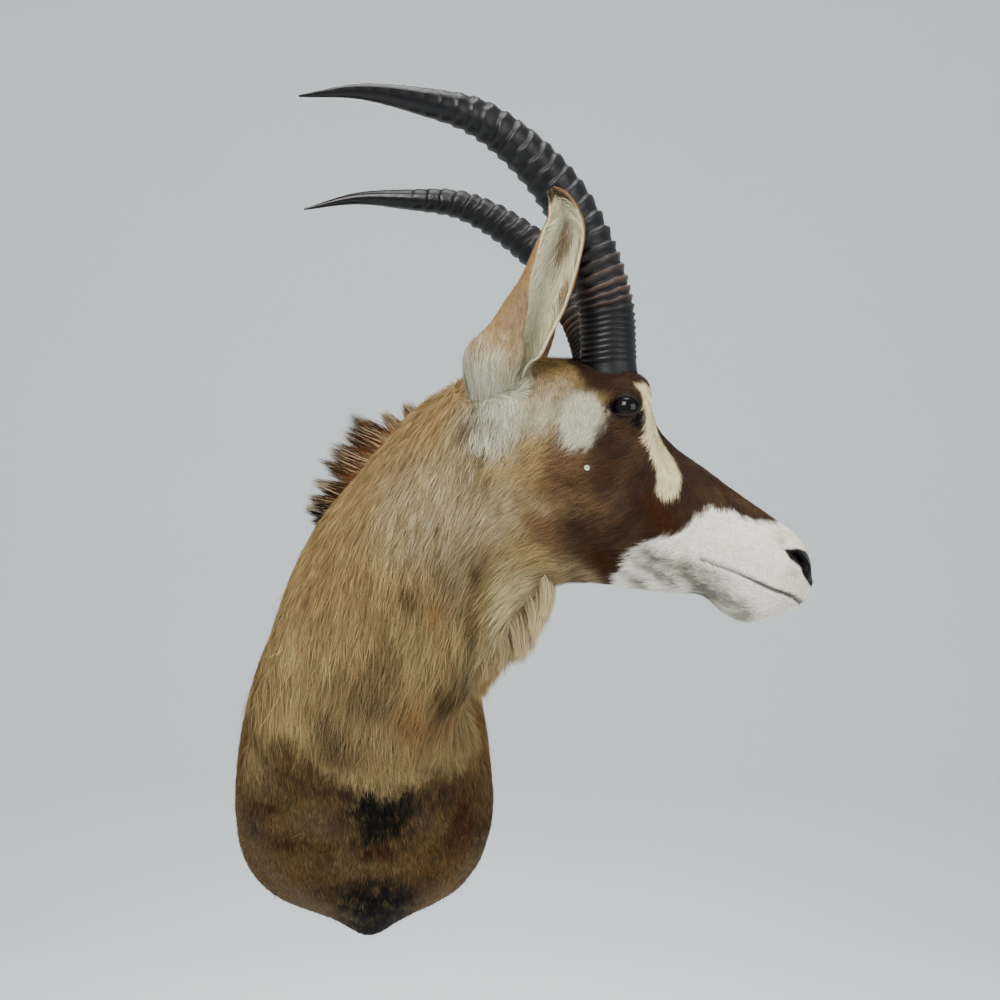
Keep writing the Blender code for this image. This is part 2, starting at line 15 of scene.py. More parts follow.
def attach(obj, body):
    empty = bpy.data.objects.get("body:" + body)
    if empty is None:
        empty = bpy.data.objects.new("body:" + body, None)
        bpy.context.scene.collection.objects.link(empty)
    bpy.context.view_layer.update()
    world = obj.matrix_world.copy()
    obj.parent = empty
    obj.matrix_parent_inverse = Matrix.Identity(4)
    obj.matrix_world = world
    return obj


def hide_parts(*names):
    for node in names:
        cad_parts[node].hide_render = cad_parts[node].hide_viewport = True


bl_info = {
    "name": "Roan Antelope Shoulder Mount",
    "version": (1, 0, 0),
    "blender": (4, 5, 0),
    "location": "3D View > Sidebar > Mount",
    "description": "Skin, coat, ears, mane, horns, eyes, board and hanger of a roan antelope shoulder mount",
    "category": "Object",
}

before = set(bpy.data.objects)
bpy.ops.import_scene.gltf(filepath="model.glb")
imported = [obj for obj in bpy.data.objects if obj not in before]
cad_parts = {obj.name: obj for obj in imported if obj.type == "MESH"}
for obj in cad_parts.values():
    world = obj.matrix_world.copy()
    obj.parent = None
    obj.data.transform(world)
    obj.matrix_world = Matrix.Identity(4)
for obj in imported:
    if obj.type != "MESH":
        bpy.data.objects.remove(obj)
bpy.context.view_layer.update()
WALL_GAP = 0.001

# The head's own frame: x runs to the nose, y to the animal's left, z to its crown, from between the eyes
HEAD_ORIGIN = Vector((0.3557, -0.3996, 0.4493))
HEAD_PITCH, HEAD_ROLL, HEAD_YAW = math.radians(30), math.radians(16), math.radians(-2.5)
HEAD = (Matrix.Translation(HEAD_ORIGIN) @ Matrix.Rotation(HEAD_YAW, 4, "Z")
        @ Matrix.Rotation(HEAD_PITCH, 4, "Y") @ Matrix.Rotation(-HEAD_ROLL, 4, "X"))
HEAD_TURN = np.array(HEAD.to_3x3())
NOSE_TIP = (0.3195, 0.0, -0.070)
EYE_CENTRE, EYE_RADIUS = (0.0, 0.0805, 0.0), 0.0185


class Station(NamedTuple):
    """One cross-section of the skin, spanned by its nape and throat points and its right-hand side."""

    nape: tuple
    throat: tuple
    side: tuple
    half_width: float
    widest: float
    top_power: float
    throat_power: float


BODY_STATIONS = (
    Station((0.000, -WALL_GAP, 0.280), (-0.008, -WALL_GAP, -0.281), (-1, 0, 0), 0.194, 0.69, 2.0, 2.6),
    Station((-0.003, -0.050, 0.292), (0.003, -0.060, -0.280), (-1, 0, 0), 0.192, 0.68, 1.6, 1.9),
    Station((-0.008, -0.100, 0.303), (0.013, -0.120, -0.264), (-1, -0.05, 0), 0.181, 0.65, 1.3, 1.8),
    Station((-0.015, -0.150, 0.313), (0.022, -0.175, -0.232), (-0.98, -0.17, 0), 0.167, 0.62, 1.15, 1.8),
    Station((-0.026, -0.195, 0.318), (0.035, -0.215, -0.172), (-0.95, -0.30, 0), 0.155, 0.59, 1.12, 1.9),
    Station((-0.037, -0.232, 0.322), (0.050, -0.245, -0.095), (-0.90, -0.43, 0), 0.146, 0.56, 1.2, 2.0),
    Station((-0.014, -0.260, 0.350), (0.075, -0.275, -0.020), (-0.80, -0.60, 0), 0.138, 0.54, 1.4, 2.0),
    Station((0.020, -0.285, 0.381), (0.110, -0.305, 0.045), (-0.65, -0.76, 0), 0.130, 0.51, 1.65, 2.0),
    Station((0.058, -0.310, 0.427), (0.150, -0.345, 0.105), (-0.45, -0.89, 0.05), 0.122, 0.49, 1.85, 2.0),
    Station((0.096, -0.335, 0.471), (0.195, -0.378, 0.160), (-0.25, -0.96, 0.10), 0.114, 0.47, 2.0, 2.0),
    Station((0.146, -0.370, 0.503), (0.235, -0.405, 0.205), (-0.10, -0.98, 0.18), 0.107, 0.44, 2.0, 2.0),
    Station((0.192, -0.391, 0.525), (0.262, -0.430, 0.238), (0.05, -0.97, 0.22), 0.103, 0.42, 2.0, 2.0),
)
HEAD_STATIONS = (
    Station((-0.1385, 0, 0.0166), (0.038, 0, -0.214), (0, -1, 0), 0.099, 0.40, 2.0, 2.1),
    Station((-0.090, 0, 0.043), (0.060, 0, -0.199), (0, -1, 0), 0.093, 0.36, 2.1, 2.1),
    Station((-0.045, 0, 0.060), (0.083, 0, -0.188), (0, -1, 0), 0.088, 0.32, 2.3, 2.0),
    Station((-0.003, 0, 0.057), (0.104, 0, -0.180), (0, -1, 0), 0.083, 0.29, 2.4, 1.9),
    Station((0.034, 0, 0.028), (0.124, 0, -0.172), (0, -1, 0), 0.076, 0.29, 1.7, 1.8),
    Station((0.070, 0, 0.0135), (0.143, 0, -0.165), (0, -1, 0), 0.067, 0.31, 1.6, 1.8),
    Station((0.120, 0, 0.0070), (0.168, 0, -0.155), (0, -1, 0), 0.056, 0.38, 1.8, 1.9),
    Station((0.177, 0, 0.0005), (0.201, 0, -0.1425), (0, -1, 0), 0.049, 0.46, 2.0, 2.0),
    Station((0.2375, 0, -0.0048), (0.240, 0, -0.143), (0, -1, 0), 0.047, 0.52, 2.0, 2.1),
    Station((0.265, 0, -0.0085), (0.266, 0, -0.139), (0, -1, 0), 0.044, 0.52, 2.0, 2.1),
    Station((0.288, 0, -0.0195), (0.285, 0, -0.124), (0, -1, 0), 0.038, 0.52, 2.0, 2.1),
    Station((0.303, 0, -0.032), (0.300, 0, -0.106), (0, -1, 0), 0.030, 0.50, 2.0, 2.1),
    Station((0.313, 0, -0.047), (0.313, 0, -0.089), (0, -1, 0), 0.018, 0.50, 2.0, 2.0),
)
BODY_ROWS, HEAD_ROWS, NOSE_ROWS, SKIN_COLUMNS = 10, 18, 6, 256     # rows of faces for each station, and round


class Bump(NamedTuple):
    """A swelling or hollow: points near its centre are pushed, less so as they lie further off."""

    centre: tuple
    reach: tuple
    push: tuple


FACE_BUMPS = (
    Bump((0.000, 0.080, 0.008), (0.030, 0.04, 0.024), (0.0, 0.008, 0.004)),
    Bump((0.002, 0.060, 0.044), (0.030, 0.03, 0.018), (0.0, 0.007, 0.006)),
    Bump((0.072, 0.060, -0.028), (0.026, 0.03, 0.022), (0.0, -0.006, 0.0)),
    Bump((0.030, 0.075, -0.045), (0.060, 0.03, 0.014), (0.0, 0.005, 0.0)),
    Bump((0.060, 0.060, -0.125), (0.050, 0.05, 0.045), (0.0, 0.009, 0.0)),
    Bump((-0.055, 0.085, 0.005), (0.022, 0.04, 0.025), (0.0, -0.005, 0.0)),
    Bump((-0.140, 0.090, -0.078), (0.042, 0.05, 0.045), (0.0, 0.016, 0.0)),
    Bump((0.284, 0.032, -0.038), (0.018, 0.03, 0.018), (0.0, 0.006, 0.002)),
    Bump((0.200, 0.045, -0.085), (0.050, 0.03, 0.020), (0.0, 0.004, 0.0)),
    Bump((0.205, 0.000, -0.148), (0.022, 0.05, 0.018), (0.0, 0.0, 0.003)),
)
BODY_BUMPS = (Bump((0.012, -0.085, -0.285), (0.036, 0.07, 0.05), (0.0, -0.010, -0.014)),)

HORN_LINE = (
    ((-0.049, -0.0385, 0.056), 0.0358),
    ((-0.090, -0.062, 0.114), 0.0350),
    ((-0.145, -0.083, 0.161), 0.0336),
    ((-0.206, -0.102, 0.197), 0.0310),
    ((-0.276, -0.120, 0.216), 0.0275),
    ((-0.349, -0.135, 0.217), 0.0229),
    ((-0.417, -0.149, 0.191), 0.0169),
    ((-0.483, -0.160, 0.157), 0.0099),
    ((-0.539, -0.170, 0.108), 0.0014),
)
HORN_ROOT = (0.0165, 0.0, -0.0235)
RIDGED_SHARE = 0.78
LEFT_HORN_SHARE = 0.86
RING_KNOTS = (0.0, 0.10, 0.16, 0.24, RIDGED_SHARE, 1.0)     # shares of the horn's length
RINGS_BELOW = (0.0, 8.0, 11.5, 14.8, 31.0, 37.0)     # ridges up to each share, of the 31 in its ridged part
HORN_LEVELS, HORN_COLUMNS = 420, 44
HORN_COLLAR, HORN_FOOT = (-0.050, 0.0395, 0.058), (-0.046, 0.0395, 0.054)     # dark hair, and no hair


class EarRow(NamedTuple):
    """A level of the right ear, in the head's frame: a rolled strip that is open towards its facing."""

    middle: tuple
    radius: float
    facing: float
    opening: float


EAR = (
    EarRow((-0.142, -0.062, -0.092), 0.034, 20, 10), EarRow((-0.154, -0.079, -0.055), 0.038, 20, 12),
    EarRow((-0.161, -0.092, -0.020), 0.037, 26, 20), EarRow((-0.162, -0.100, 0.005), 0.036, 40, 38),
    EarRow((-0.162, -0.104, 0.040), 0.034, 52, 50), EarRow((-0.163, -0.110, 0.072), 0.031, 68, 60),
    EarRow((-0.169, -0.120, 0.109), 0.029, 78, 66), EarRow((-0.178, -0.133, 0.142), 0.025, 86, 72),
    EarRow((-0.188, -0.141, 0.158), 0.019, 88, 74), EarRow((-0.202, -0.147, 0.169), 0.013, 88, 72),
    EarRow((-0.218, -0.152, 0.174), 0.006, 88, 70),
)
EAR_DEPTH, EAR_THICKNESS = 0.85, 0.0036
EAR_COLUMNS, EAR_LEVELS = 40, 90

MANE_ROOTS = ((0.112, -0.342, 0.470), (0.058, -0.315, 0.424), (0.014, -0.283, 0.374), (-0.028, -0.250, 0.334))
MANE_TIPS = (
    (0.118, -0.338, 0.489), (0.075, -0.322, 0.487), (0.034, -0.310, 0.474), (0.006, -0.300, 0.461),
    (-0.016, -0.290, 0.441), (-0.036, -0.280, 0.418), (-0.027, -0.275, 0.399), (-0.048, -0.270, 0.382),
    (-0.064, -0.260, 0.366), (-0.061, -0.250, 0.342), (-0.046, -0.240, 0.320),
)
THROAT_ROOTS = (
    (0.272, -0.445, 0.250), (0.243, -0.415, 0.216), (0.208, -0.390, 0.178), (0.168, -0.358, 0.130),
)
THROAT_TIPS = ((0.263, -0.428, 0.205), (0.257, -0.410, 0.172), (0.241, -0.400, 0.147), (0.222, -0.390, 0.132),
               (0.198, -0.383, 0.110), (0.172, -0.370, 0.080))
THROAT_ACROSS = (-0.20, -0.95, 0.10)
CHEST_LINE = ((-0.150, 0.010), (-0.110, 0.034), (-0.080, 0.040), (-0.050, 0.014), (-0.026, -0.010),
              (0.010, -0.028), (0.049, -0.040), (0.085, -0.032), (0.110, -0.026), (0.151, -0.018))
TUCKS = (((-0.053, -0.185, -0.200), 0.25), ((0.104, -0.150, -0.180), -0.46))     # middle and slant of each
HAIR_STEPS = (0.0, 0.5, 1.0)     # shares of a coat hair's length
LONG_TAPER, SHORT_TAPER = (1, 1, 0.85, 0.55, 0), (1, 0.8, 0)     # widths along a hair
SCAR, SCAR_HAIRS = (-0.0060, -0.0915, -0.0970), 260
MANE_TUFTS, BEARD_LOCKS, LASHES = 19, 70, 90
STRAY_SHARE, DARK_SHARE, DARK = 0.006, 0.20, 0.55     # coat hairs that stand off, and that are darker
OWN_SIDE, MIRRORED = 5.5, 7.5     # stations between which the left side takes the right side's markings
BOARD_SHARE, BOARD_THICKNESS = 0.86, 0.018

# Fine forms of the face, in the head's frame: x and z on either side
EYE_OPENING = (-0.0030, -0.0020)
EYE_TILT, EYE_LONG, EYE_SHORT = math.radians(26), 0.0172, 0.0124
PUPIL_LONG, PUPIL_SHORT, IRIS_RADIUS = 0.0085, 0.0052, 0.0135
LID_POINTS, LID_COLUMNS = 96, 12
EYE_SIDE, FAR_OFF = 0.05, 9.0     # forms of the eye lie further out than this; the oval's value elsewhere
THROAT_LEVEL = -0.25     # forms of the head lie above this
MOUTH = ((0.175, -0.1108), (0.202, -0.1063), (0.220, -0.1034), (0.248, -0.1009), (0.272, -0.0975),
         (0.300, -0.0886), (0.318, -0.083))
BROW_FOLD = ((-0.026, 0.012), (-0.012, 0.019), (0.004, 0.021), (0.018, 0.014), (0.027, 0.002))
LID_FOLD = ((-0.022, -0.022), (-0.012, -0.030), (0.002, -0.032), (0.018, -0.026))
BURR_FOLD = ((-0.1246, -0.018), (-0.1123, -0.0413), (-0.1088, -0.0608))
LIP_FOLD = ((0.140, -0.151), (0.1555, -0.1485), (0.1802, -0.1412), (0.2131, -0.1340))
FOLDS = ((BROW_FOLD, 0.0020, 0.0016), (LID_FOLD, 0.0018, 0.0018), (BURR_FOLD, 0.0030, 0.0022),
         (LIP_FOLD, 0.0030, 0.0040))     # the line, depth and half-width of each
TEAR_LINE = ((0.014, 0.004), (0.036, -0.006))
NOSTRIL = (0.2830, -0.0435)
NOSTRIL_TILT, NOSTRIL_LONG, NOSTRIL_SHORT = math.radians(-16), 0.0170, 0.0056

# Name, place, size, power and colour of each light
LIGHTS = (
    ("key", (-0.9, -2.6, 2.3), 1.5, 130, (1.0, 0.985, 0.95)),
    ("fill", (2.2, -2.2, 0.9), 1.8, 52, (0.98, 0.99, 1.0)),
    ("top", (0.3, -0.4, 2.6), 1.4, 52, (1.0, 1.0, 1.0)),
    ("back", (0.2, 2.6, 1.6), 2.0, 70, (1.0, 1.0, 1.0)),
)
LIT_POINT, SKY_COLOUR, SKY_STRENGTH = (0.15, -0.25, 0.25), (0.82, 0.83, 0.84, 1), 0.82
CAMERA_PLACE, SENSOR_WIDTH = (0.205, -2.546, 0.354), 36.0


def paint(*levels):
    """A screen colour, 0 to 255 each, as the linear values that Blender takes."""
    return tuple(c / 255 / 12.92 if c < 11 else ((c / 255 + 0.055) / 1.055) ** 2.4 for c in levels)


class Region(NamedTuple):
    """A marking on the side of the head: its outline as x and z in the head's frame, and how far it fades."""

    tone: str
    outline: tuple
    fade: float
    fray: float


class Patch(NamedTuple):
    """A soft-edged spot of another colour."""

    tone: str
    centre: tuple
    reach: tuple
    strength: float


def patches(depth, *rows):
    """Patches from rows of tone, x, y, z, width, height and strength, and a depth if it differs."""
    return tuple(Patch(tone, (x, y, z), (wide, own[0] if own else depth, tall), strength)
                 for tone, x, y, z, wide, tall, strength, *own in rows)


class Lie(NamedTuple):
    """How the hair lies round a point: its direction, length and how far its tips stand off the skin."""

    centre: tuple
    reach: float
    direction: tuple
    length: float
    lift: float


BODY_PATCHES = patches(0.09,
    ("tan", -0.025, -0.373, 0.286, 0.034, 0.060, 1.0),
    ("tan", 0.046, -0.409, 0.376, 0.039, 0.044, 1.0),
    ("tan", 0.106, -0.419, 0.458, 0.044, 0.028, 1.0),
    ("tan", -0.073, -0.348, 0.195, 0.021, 0.066, 0.8),
    ("neck_grey", 0.117, -0.466, 0.353, 0.065, 0.058, 0.9),
    ("neck_grey", 0.165, -0.479, 0.304, 0.030, 0.062, 0.6),
    ("neck_grey", 0.205, -0.480, 0.348, 0.034, 0.030, 1.1),
    ("mottle", -0.135, -0.240, 0.085, 0.020, 0.046, 0.6),
    ("rust_light", 0.044, -0.430, 0.272, 0.011, 0.007, 0.6),
    ("rust_light", 0.126, -0.453, 0.232, 0.009, 0.015, 0.9),
    ("rust_light", 0.092, -0.450, 0.250, 0.007, 0.006, 0.6),
    ("rust_light", 0.195, -0.452, 0.226, 0.011, 0.018, 0.6),
    ("taupe", 0.097, -0.448, 0.237, 0.014, 0.041, 0.75),
    ("taupe", 0.067, -0.421, 0.177, 0.031, 0.031, 0.75),
    ("taupe", 0.038, -0.388, 0.121, 0.034, 0.031, 0.75),
    ("mottle", 0.045, -0.384, 0.112, 0.017, 0.018, 0.8),
    ("taupe", 0.144, -0.468, 0.274, 0.019, 0.030, 0.75),
    # The next two umber patches are painted shadow on the throat under the jaw
    ("umber", 0.193, -0.472, 0.267, 0.016, 0.033, 1.2),
    ("umber", 0.175, -0.450, 0.218, 0.011, 0.033, 0.9),
    ("taupe", -0.012, -0.356, 0.078, 0.021, 0.045, 0.75),
    ("umber", 0.179, -0.393, 0.155, 0.014, 0.034, 1.1),
    ("umber", 0.156, -0.346, 0.110, 0.017, 0.032, 1.3),
    ("umber", 0.134, -0.290, 0.061, 0.015, 0.033, 1.2),
    ("umber", 0.111, -0.264, 0.012, 0.015, 0.025, 1.0),
    ("umber", 0.005, -0.390, 0.147, 0.007, 0.023, 0.6),
    ("rust_light", 0.103, -0.359, 0.086, 0.022, 0.032, 0.9),
    ("umber", 0.077, -0.386, 0.112, 0.007, 0.039, 0.5),
    ("straw_light", -0.073, -0.354, 0.167, 0.011, 0.058, 1.0),
    ("straw_light", -0.076, -0.336, 0.085, 0.016, 0.029, 1.1),
    ("straw_light", -0.016, -0.390, 0.175, 0.016, 0.044, 0.6),
    ("straw_light", 0.106, -0.427, 0.176, 0.018, 0.044, 0.7),
    ("straw_light", 0.136, -0.300, 0.025, 0.013, 0.042, 0.9),
    ("straw_light", 0.055, -0.335, 0.042, 0.010, 0.045, 0.4),
    ("straw_light", 0.003, -0.316, 0.002, 0.027, 0.024, 0.7),
    ("straw_light", 0.080, -0.440, 0.204, 0.009, 0.043, 0.6),
    ("cream", 0.226, -0.447, 0.230, 0.020, 0.043, 1.2),
    ("cream", 0.210, -0.376, 0.174, 0.024, 0.039, 0.9),
    ("cream", 0.252, -0.465, 0.252, 0.018, 0.016, 1.2),
    ("straw_light", 0.200, -0.463, 0.247, 0.010, 0.033, 0.8),
    ("ochre_dark", -0.160, -0.080, 0.050, 0.024, 0.091, 1.2, 0.12),
    ("ochre_dark", 0.180, -0.100, 0.020, 0.024, 0.080, 1.2, 0.12),
    ("umber", -0.006, -0.340, 0.043, 0.035, 0.032, 0.8),
)
BRISKET_PATCHES = patches(0.09,
    ("straw", -0.140, -0.237, -0.004, 0.034, 0.038, 1.0),
    ("mottle", -0.120, -0.237, 0.020, 0.016, 0.020, 0.6),
    ("umber", -0.082, -0.291, -0.016, 0.041, 0.033, 0.6),
    ("umber", -0.027, -0.294, -0.037, 0.041, 0.016, 0.9),
    ("mottle", -0.040, -0.268, -0.084, 0.039, 0.025, 0.9),
    ("mottle", -0.014, -0.239, -0.144, 0.024, 0.017, 0.9),
    ("mottle", 0.099, -0.217, -0.087, 0.027, 0.027, 0.9),
    ("mottle", -0.125, -0.243, -0.046, 0.022, 0.017, 0.6),
    ("rust", -0.128, -0.225, -0.072, 0.025, 0.013, 1.0),
    ("umber", -0.154, -0.153, -0.111, 0.014, 0.026, 1.2),
    ("rust", -0.097, -0.221, -0.124, 0.048, 0.013, 1.0),
    ("rust", -0.040, -0.242, -0.136, 0.017, 0.013, 0.9),
    ("rust", 0.153, -0.157, -0.100, 0.019, 0.038, 1.2),
    ("rust", 0.134, -0.160, -0.143, 0.026, 0.023, 1.0),
    ("rust", 0.035, -0.233, -0.134, 0.036, 0.015, 1.0),
    ("ochre_dark", -0.095, -0.179, -0.178, 0.063, 0.020, 1.2),
    ("ochre_dark", 0.104, -0.173, -0.176, 0.037, 0.026, 0.8),
    ("umber", 0.178, -0.098, -0.131, 0.013, 0.038, 1.3),
    ("umber", 0.118, -0.211, -0.057, 0.034, 0.020, 1.0),
    ("black", 0.040, -0.259, -0.078, 0.046, 0.044, 1.8),
    ("black", 0.052, -0.280, -0.032, 0.016, 0.016, 0.9),
    ("umber", 0.025, -0.205, -0.192, 0.062, 0.020, 1.2),
    ("black", 0.030, -0.179, -0.222, 0.046, 0.036, 2.0),
    ("black", 0.018, -0.070, -0.270, 0.048, 0.034, 1.8, 0.12),
)
FACE = Region("face", ((-0.068, 0.100), (-0.070, 0.028), (-0.068, 0.000), (-0.077, -0.030), (-0.062, -0.074),
                       (-0.050, -0.105), (-0.045, -0.134), (-0.040, -0.179), (-0.020, -0.192),
                       (0.018, -0.198), (0.045, -0.212), (0.060, -0.250), (0.500, -0.250),
                       (0.500, 0.120)), 0.012, 0.012)
FACE_PATCHES = patches(0.06,
    ("cheek", -0.019, 0.066, -0.174, 0.042, 0.049, 1.2),
    ("cheek", -0.064, 0.072, -0.156, 0.032, 0.032, 1.2),
    ("cheek_light", -0.071, 0.059, -0.178, 0.025, 0.042, 1.1),
    ("cheek_light", -0.031, 0.078, -0.156, 0.025, 0.011, 0.7),
    ("cheek_light", -0.052, 0.035, -0.216, 0.027, 0.025, 0.9),
    ("cheek", -0.029, 0.095, -0.089, 0.032, 0.016, 0.9),
    ("cheek", -0.029, 0.095, -0.123, 0.029, 0.017, 1.0),
    ("cheek", 0.024, 0.083, -0.119, 0.032, 0.011, 0.7),
    ("umber", -0.012, 0.091, -0.118, 0.020, 0.005, 1.2),
    ("face", 0.026, 0.073, -0.157, 0.020, 0.015, 1.0),
    ("mottle", 0.040, 0.082, -0.102, 0.009, 0.006, 0.6),
    ("mottle", 0.013, 0.082, -0.141, 0.013, 0.006, 0.6),
    ("rust", 0.110, 0.062, -0.092, 0.027, 0.014, 1.3),
    ("rust", 0.082, 0.072, -0.082, 0.012, 0.010, 0.9),
    ("rust", 0.077, 0.040, -0.171, 0.025, 0.010, 0.9),
    ("cheek", 0.039, 0.041, -0.196, 0.042, 0.011, 1.0),
    ("cheek_light", 0.029, 0.031, -0.205, 0.037, 0.009, 1.2),
    ("cheek_light", 0.076, 0.012, -0.190, 0.050, 0.005, 0.9),
    ("rust", 0.020, 0.086, -0.085, 0.017, 0.025, 0.4),
    ("ochre", -0.034, 0.088, -0.001, 0.009, 0.007, 0.7),
    ("cheek", -0.032, 0.090, -0.012, 0.007, 0.010, 0.8),
    ("cheek", -0.059, 0.079, -0.002, 0.015, 0.006, 0.8),
)
MARKINGS = (
    Region("white", ((-0.074, -0.042), (-0.076, -0.020), (-0.064, -0.009), (-0.048, -0.001), (-0.030, -0.013),
                     (-0.016, -0.033), (-0.011, -0.054), (-0.018, -0.073), (-0.032, -0.085), (-0.051, -0.079),
                     (-0.066, -0.062)), 0.008, 0.009),
    Region("brow", ((-0.009, 0.035), (0.006, 0.050), (0.026, 0.030), (0.043, 0.006), (0.057, -0.006),
                    (0.071, -0.012), (0.087, -0.021), (0.102, -0.038), (0.107, -0.056), (0.097, -0.070),
                    (0.086, -0.069), (0.076, -0.057), (0.066, -0.045), (0.054, -0.032), (0.042, -0.019),
                    (0.033, -0.009), (0.022, 0.007), (0.009, 0.021), (-0.001, 0.029)), 0.0022, 0.004),
    Region("muzzle", ((0.246, 0.000), (0.243, -0.012), (0.235, -0.019), (0.212, -0.033), (0.186, -0.038),
                      (0.158, -0.050), (0.142, -0.068), (0.134, -0.098), (0.110, -0.118), (0.098, -0.146),
                      (0.098, -0.163), (0.107, -0.250), (0.500, -0.250), (0.500, 0.080), (0.252, 0.080)),
           0.004, 0.006),
)
POLL_PATCHES = patches(0.06,
    ("tan", -0.201, 0.021, -0.076, 0.020, 0.038, 1.1),
    ("burr", -0.137, 0.090, -0.090, 0.036, 0.044, 1.1),
    ("burr", -0.137, 0.075, -0.028, 0.018, 0.025, 1.0),
    # The next three mottle patches are painted shadow under the ear's root
    ("mottle", -0.163, 0.059, -0.114, 0.006, 0.017, 0.9),
    ("mottle", -0.131, 0.066, -0.138, 0.017, 0.006, 1.0),
    ("mottle", -0.148, 0.086, -0.100, 0.016, 0.006, 0.7),
    ("ochre", -0.112, 0.050, 0.015, 0.028, 0.030, 1.5, 0.08),
    ("ochre", -0.072, 0.060, 0.010, 0.015, 0.014, 0.6),
    ("white", -0.084, 0.098, -0.049, 0.018, 0.034, 0.9),
    ("cheek_light", -0.084, 0.094, -0.037, 0.007, 0.017, 0.8),
    ("straw_light", -0.079, 0.096, -0.095, 0.012, 0.007, 1.1),
    ("straw_light", -0.096, 0.076, -0.140, 0.022, 0.007, 1.0),
    ("tan", -0.110, 0.067, -0.150, 0.015, 0.009, 0.6),
    ("tan", -0.076, 0.093, -0.104, 0.015, 0.010, 0.6),
)
MUZZLE_PATCHES = patches(0.06,
    ("nose_cream", 0.255, 0.033, -0.027, 0.018, 0.015, 1.0),
    ("nose_cream", 0.281, 0.040, -0.075, 0.015, 0.020, 0.8),
    ("nose_cream", 0.151, 0.045, -0.117, 0.012, 0.012, 0.7),
    ("nose_cream", 0.204, 0.051, -0.078, 0.037, 0.012, 0.4),
    # The grey lip patches are partly the lip's own grey and partly painted shade in the folds and under the
    # jaw
    ("lip_grey", 0.168, 0.037, -0.127, 0.018, 0.009, 0.9),
    ("lip_grey", 0.199, 0.037, -0.119, 0.020, 0.009, 0.7),
    ("lip_grey", 0.130, 0.031, -0.150, 0.033, 0.005, 0.7),
    ("lip_grey", 0.120, 0.020, -0.166, 0.038, 0.005, 0.8),
    # The next two patches are painted shadow under the lower lip
    ("lip_dark", 0.192, 0.021, -0.134, 0.033, 0.005, 1.2),
    ("lip_dark", 0.155, 0.024, -0.147, 0.015, 0.005, 1.0),
    ("lip_grey", 0.234, 0.028, -0.131, 0.030, 0.010, 0.6),
    ("lip_grey", 0.203, 0.011, -0.135, 0.033, 0.006, 0.8),
    ("lip_grey", 0.258, 0.018, -0.137, 0.025, 0.008, 0.6),
    ("lip_grey", 0.255, 0.038, -0.036, 0.005, 0.005, 0.6),
    ("lip_grey", 0.287, 0.038, -0.064, 0.005, 0.005, 0.4),
    ("lip_grey", 0.128, 0.042, -0.135, 0.026, 0.012, 1.0),
)
NOSE_BLACK = Region("black", ((0.2600, -0.0450), (0.2745, -0.0335), (0.2885, -0.0270), (0.2980, -0.0200),
                              (0.3300, -0.0300), (0.3300, -0.0620), (0.3050, -0.0610), (0.2970, -0.0590),
                              (0.2899, -0.0537), (0.2719, -0.0519)), 0.0012, 0.0006)
TEAR_BLACK = Region("black", ((-0.0020, 0.0120), (0.0077, 0.0128), (0.0218, 0.0044), (0.0330, -0.0105),
                              (0.0226, -0.0140), (0.0056, -0.0056)), 0.0015, 0.0006)

HEAD_LIES = (
    Lie((0.030, 0.030, 0.045), 0.030, (0.70, 0.1, -0.40), 0.010, 0.12),
    Lie((-0.050, 0.020, 0.065), 0.030, (-0.60, 0.1, -0.20), 0.014, 0.30),
    Lie((0.130, 0.020, 0.004), 0.040, (0.90, 0.1, -0.35), 0.009, 0.10),
    Lie((0.090, 0.055, -0.050), 0.030, (0.60, 0, -0.80), 0.011, 0.12),
    Lie((0.060, 0.060, -0.090), 0.030, (-0.20, 0, -1.0), 0.013, 0.12),
    Lie((0.020, 0.080, -0.050), 0.026, (-0.80, 0, -0.59), 0.011, 0.12),
    Lie((-0.040, 0.085, -0.045), 0.024, (0.30, 0, -0.95), 0.011, 0.14),
    Lie((0.000, 0.070, -0.120), 0.040, (-0.67, 0, -0.73), 0.017, 0.14),
    Lie((-0.045, 0.075, -0.150), 0.040, (-0.35, 0, -0.94), 0.021, 0.16),
    Lie((0.070, 0.050, -0.140), 0.030, (-0.82, 0, -0.57), 0.016, 0.14),
    Lie((0.020, 0.040, -0.200), 0.030, (-0.87, 0, -0.50), 0.020, 0.18),
    Lie((0.110, 0.040, -0.155), 0.030, (-0.86, 0, -0.50), 0.013, 0.14),
    Lie((0.190, 0.040, -0.040), 0.030, (-0.73, 0, 0.60), 0.008, 0.10),
    Lie((0.220, 0.045, -0.080), 0.030, (-0.99, 0, 0.10), 0.007, 0.10),
    Lie((0.270, 0.030, -0.060), 0.030, (-0.90, 0, -0.20), 0.005, 0.10),
    Lie((0.240, 0.030, -0.130), 0.030, (-0.95, 0, -0.30), 0.008, 0.12),
    Lie((-0.100, 0.070, 0.000), 0.026, (0.40, 0, -0.87), 0.014, 0.16),
    Lie((-0.125, 0.040, 0.020), 0.026, (-0.60, 0.4, -0.60), 0.018, 0.20),
    Lie((-0.150, 0.085, -0.046), 0.020, (-0.20, 0.5, 1.0), 0.024, 0.40),
    Lie((-0.172, 0.050, -0.050), 0.020, (-0.20, 0.5, 1.0), 0.024, 0.40),
    Lie((-0.137, 0.095, -0.095), 0.024, (0.50, 0, -0.87), 0.012, 0.10),
    Lie((-0.140, 0.080, -0.140), 0.030, (0.10, 0, -1.0), 0.022, 0.18),
)
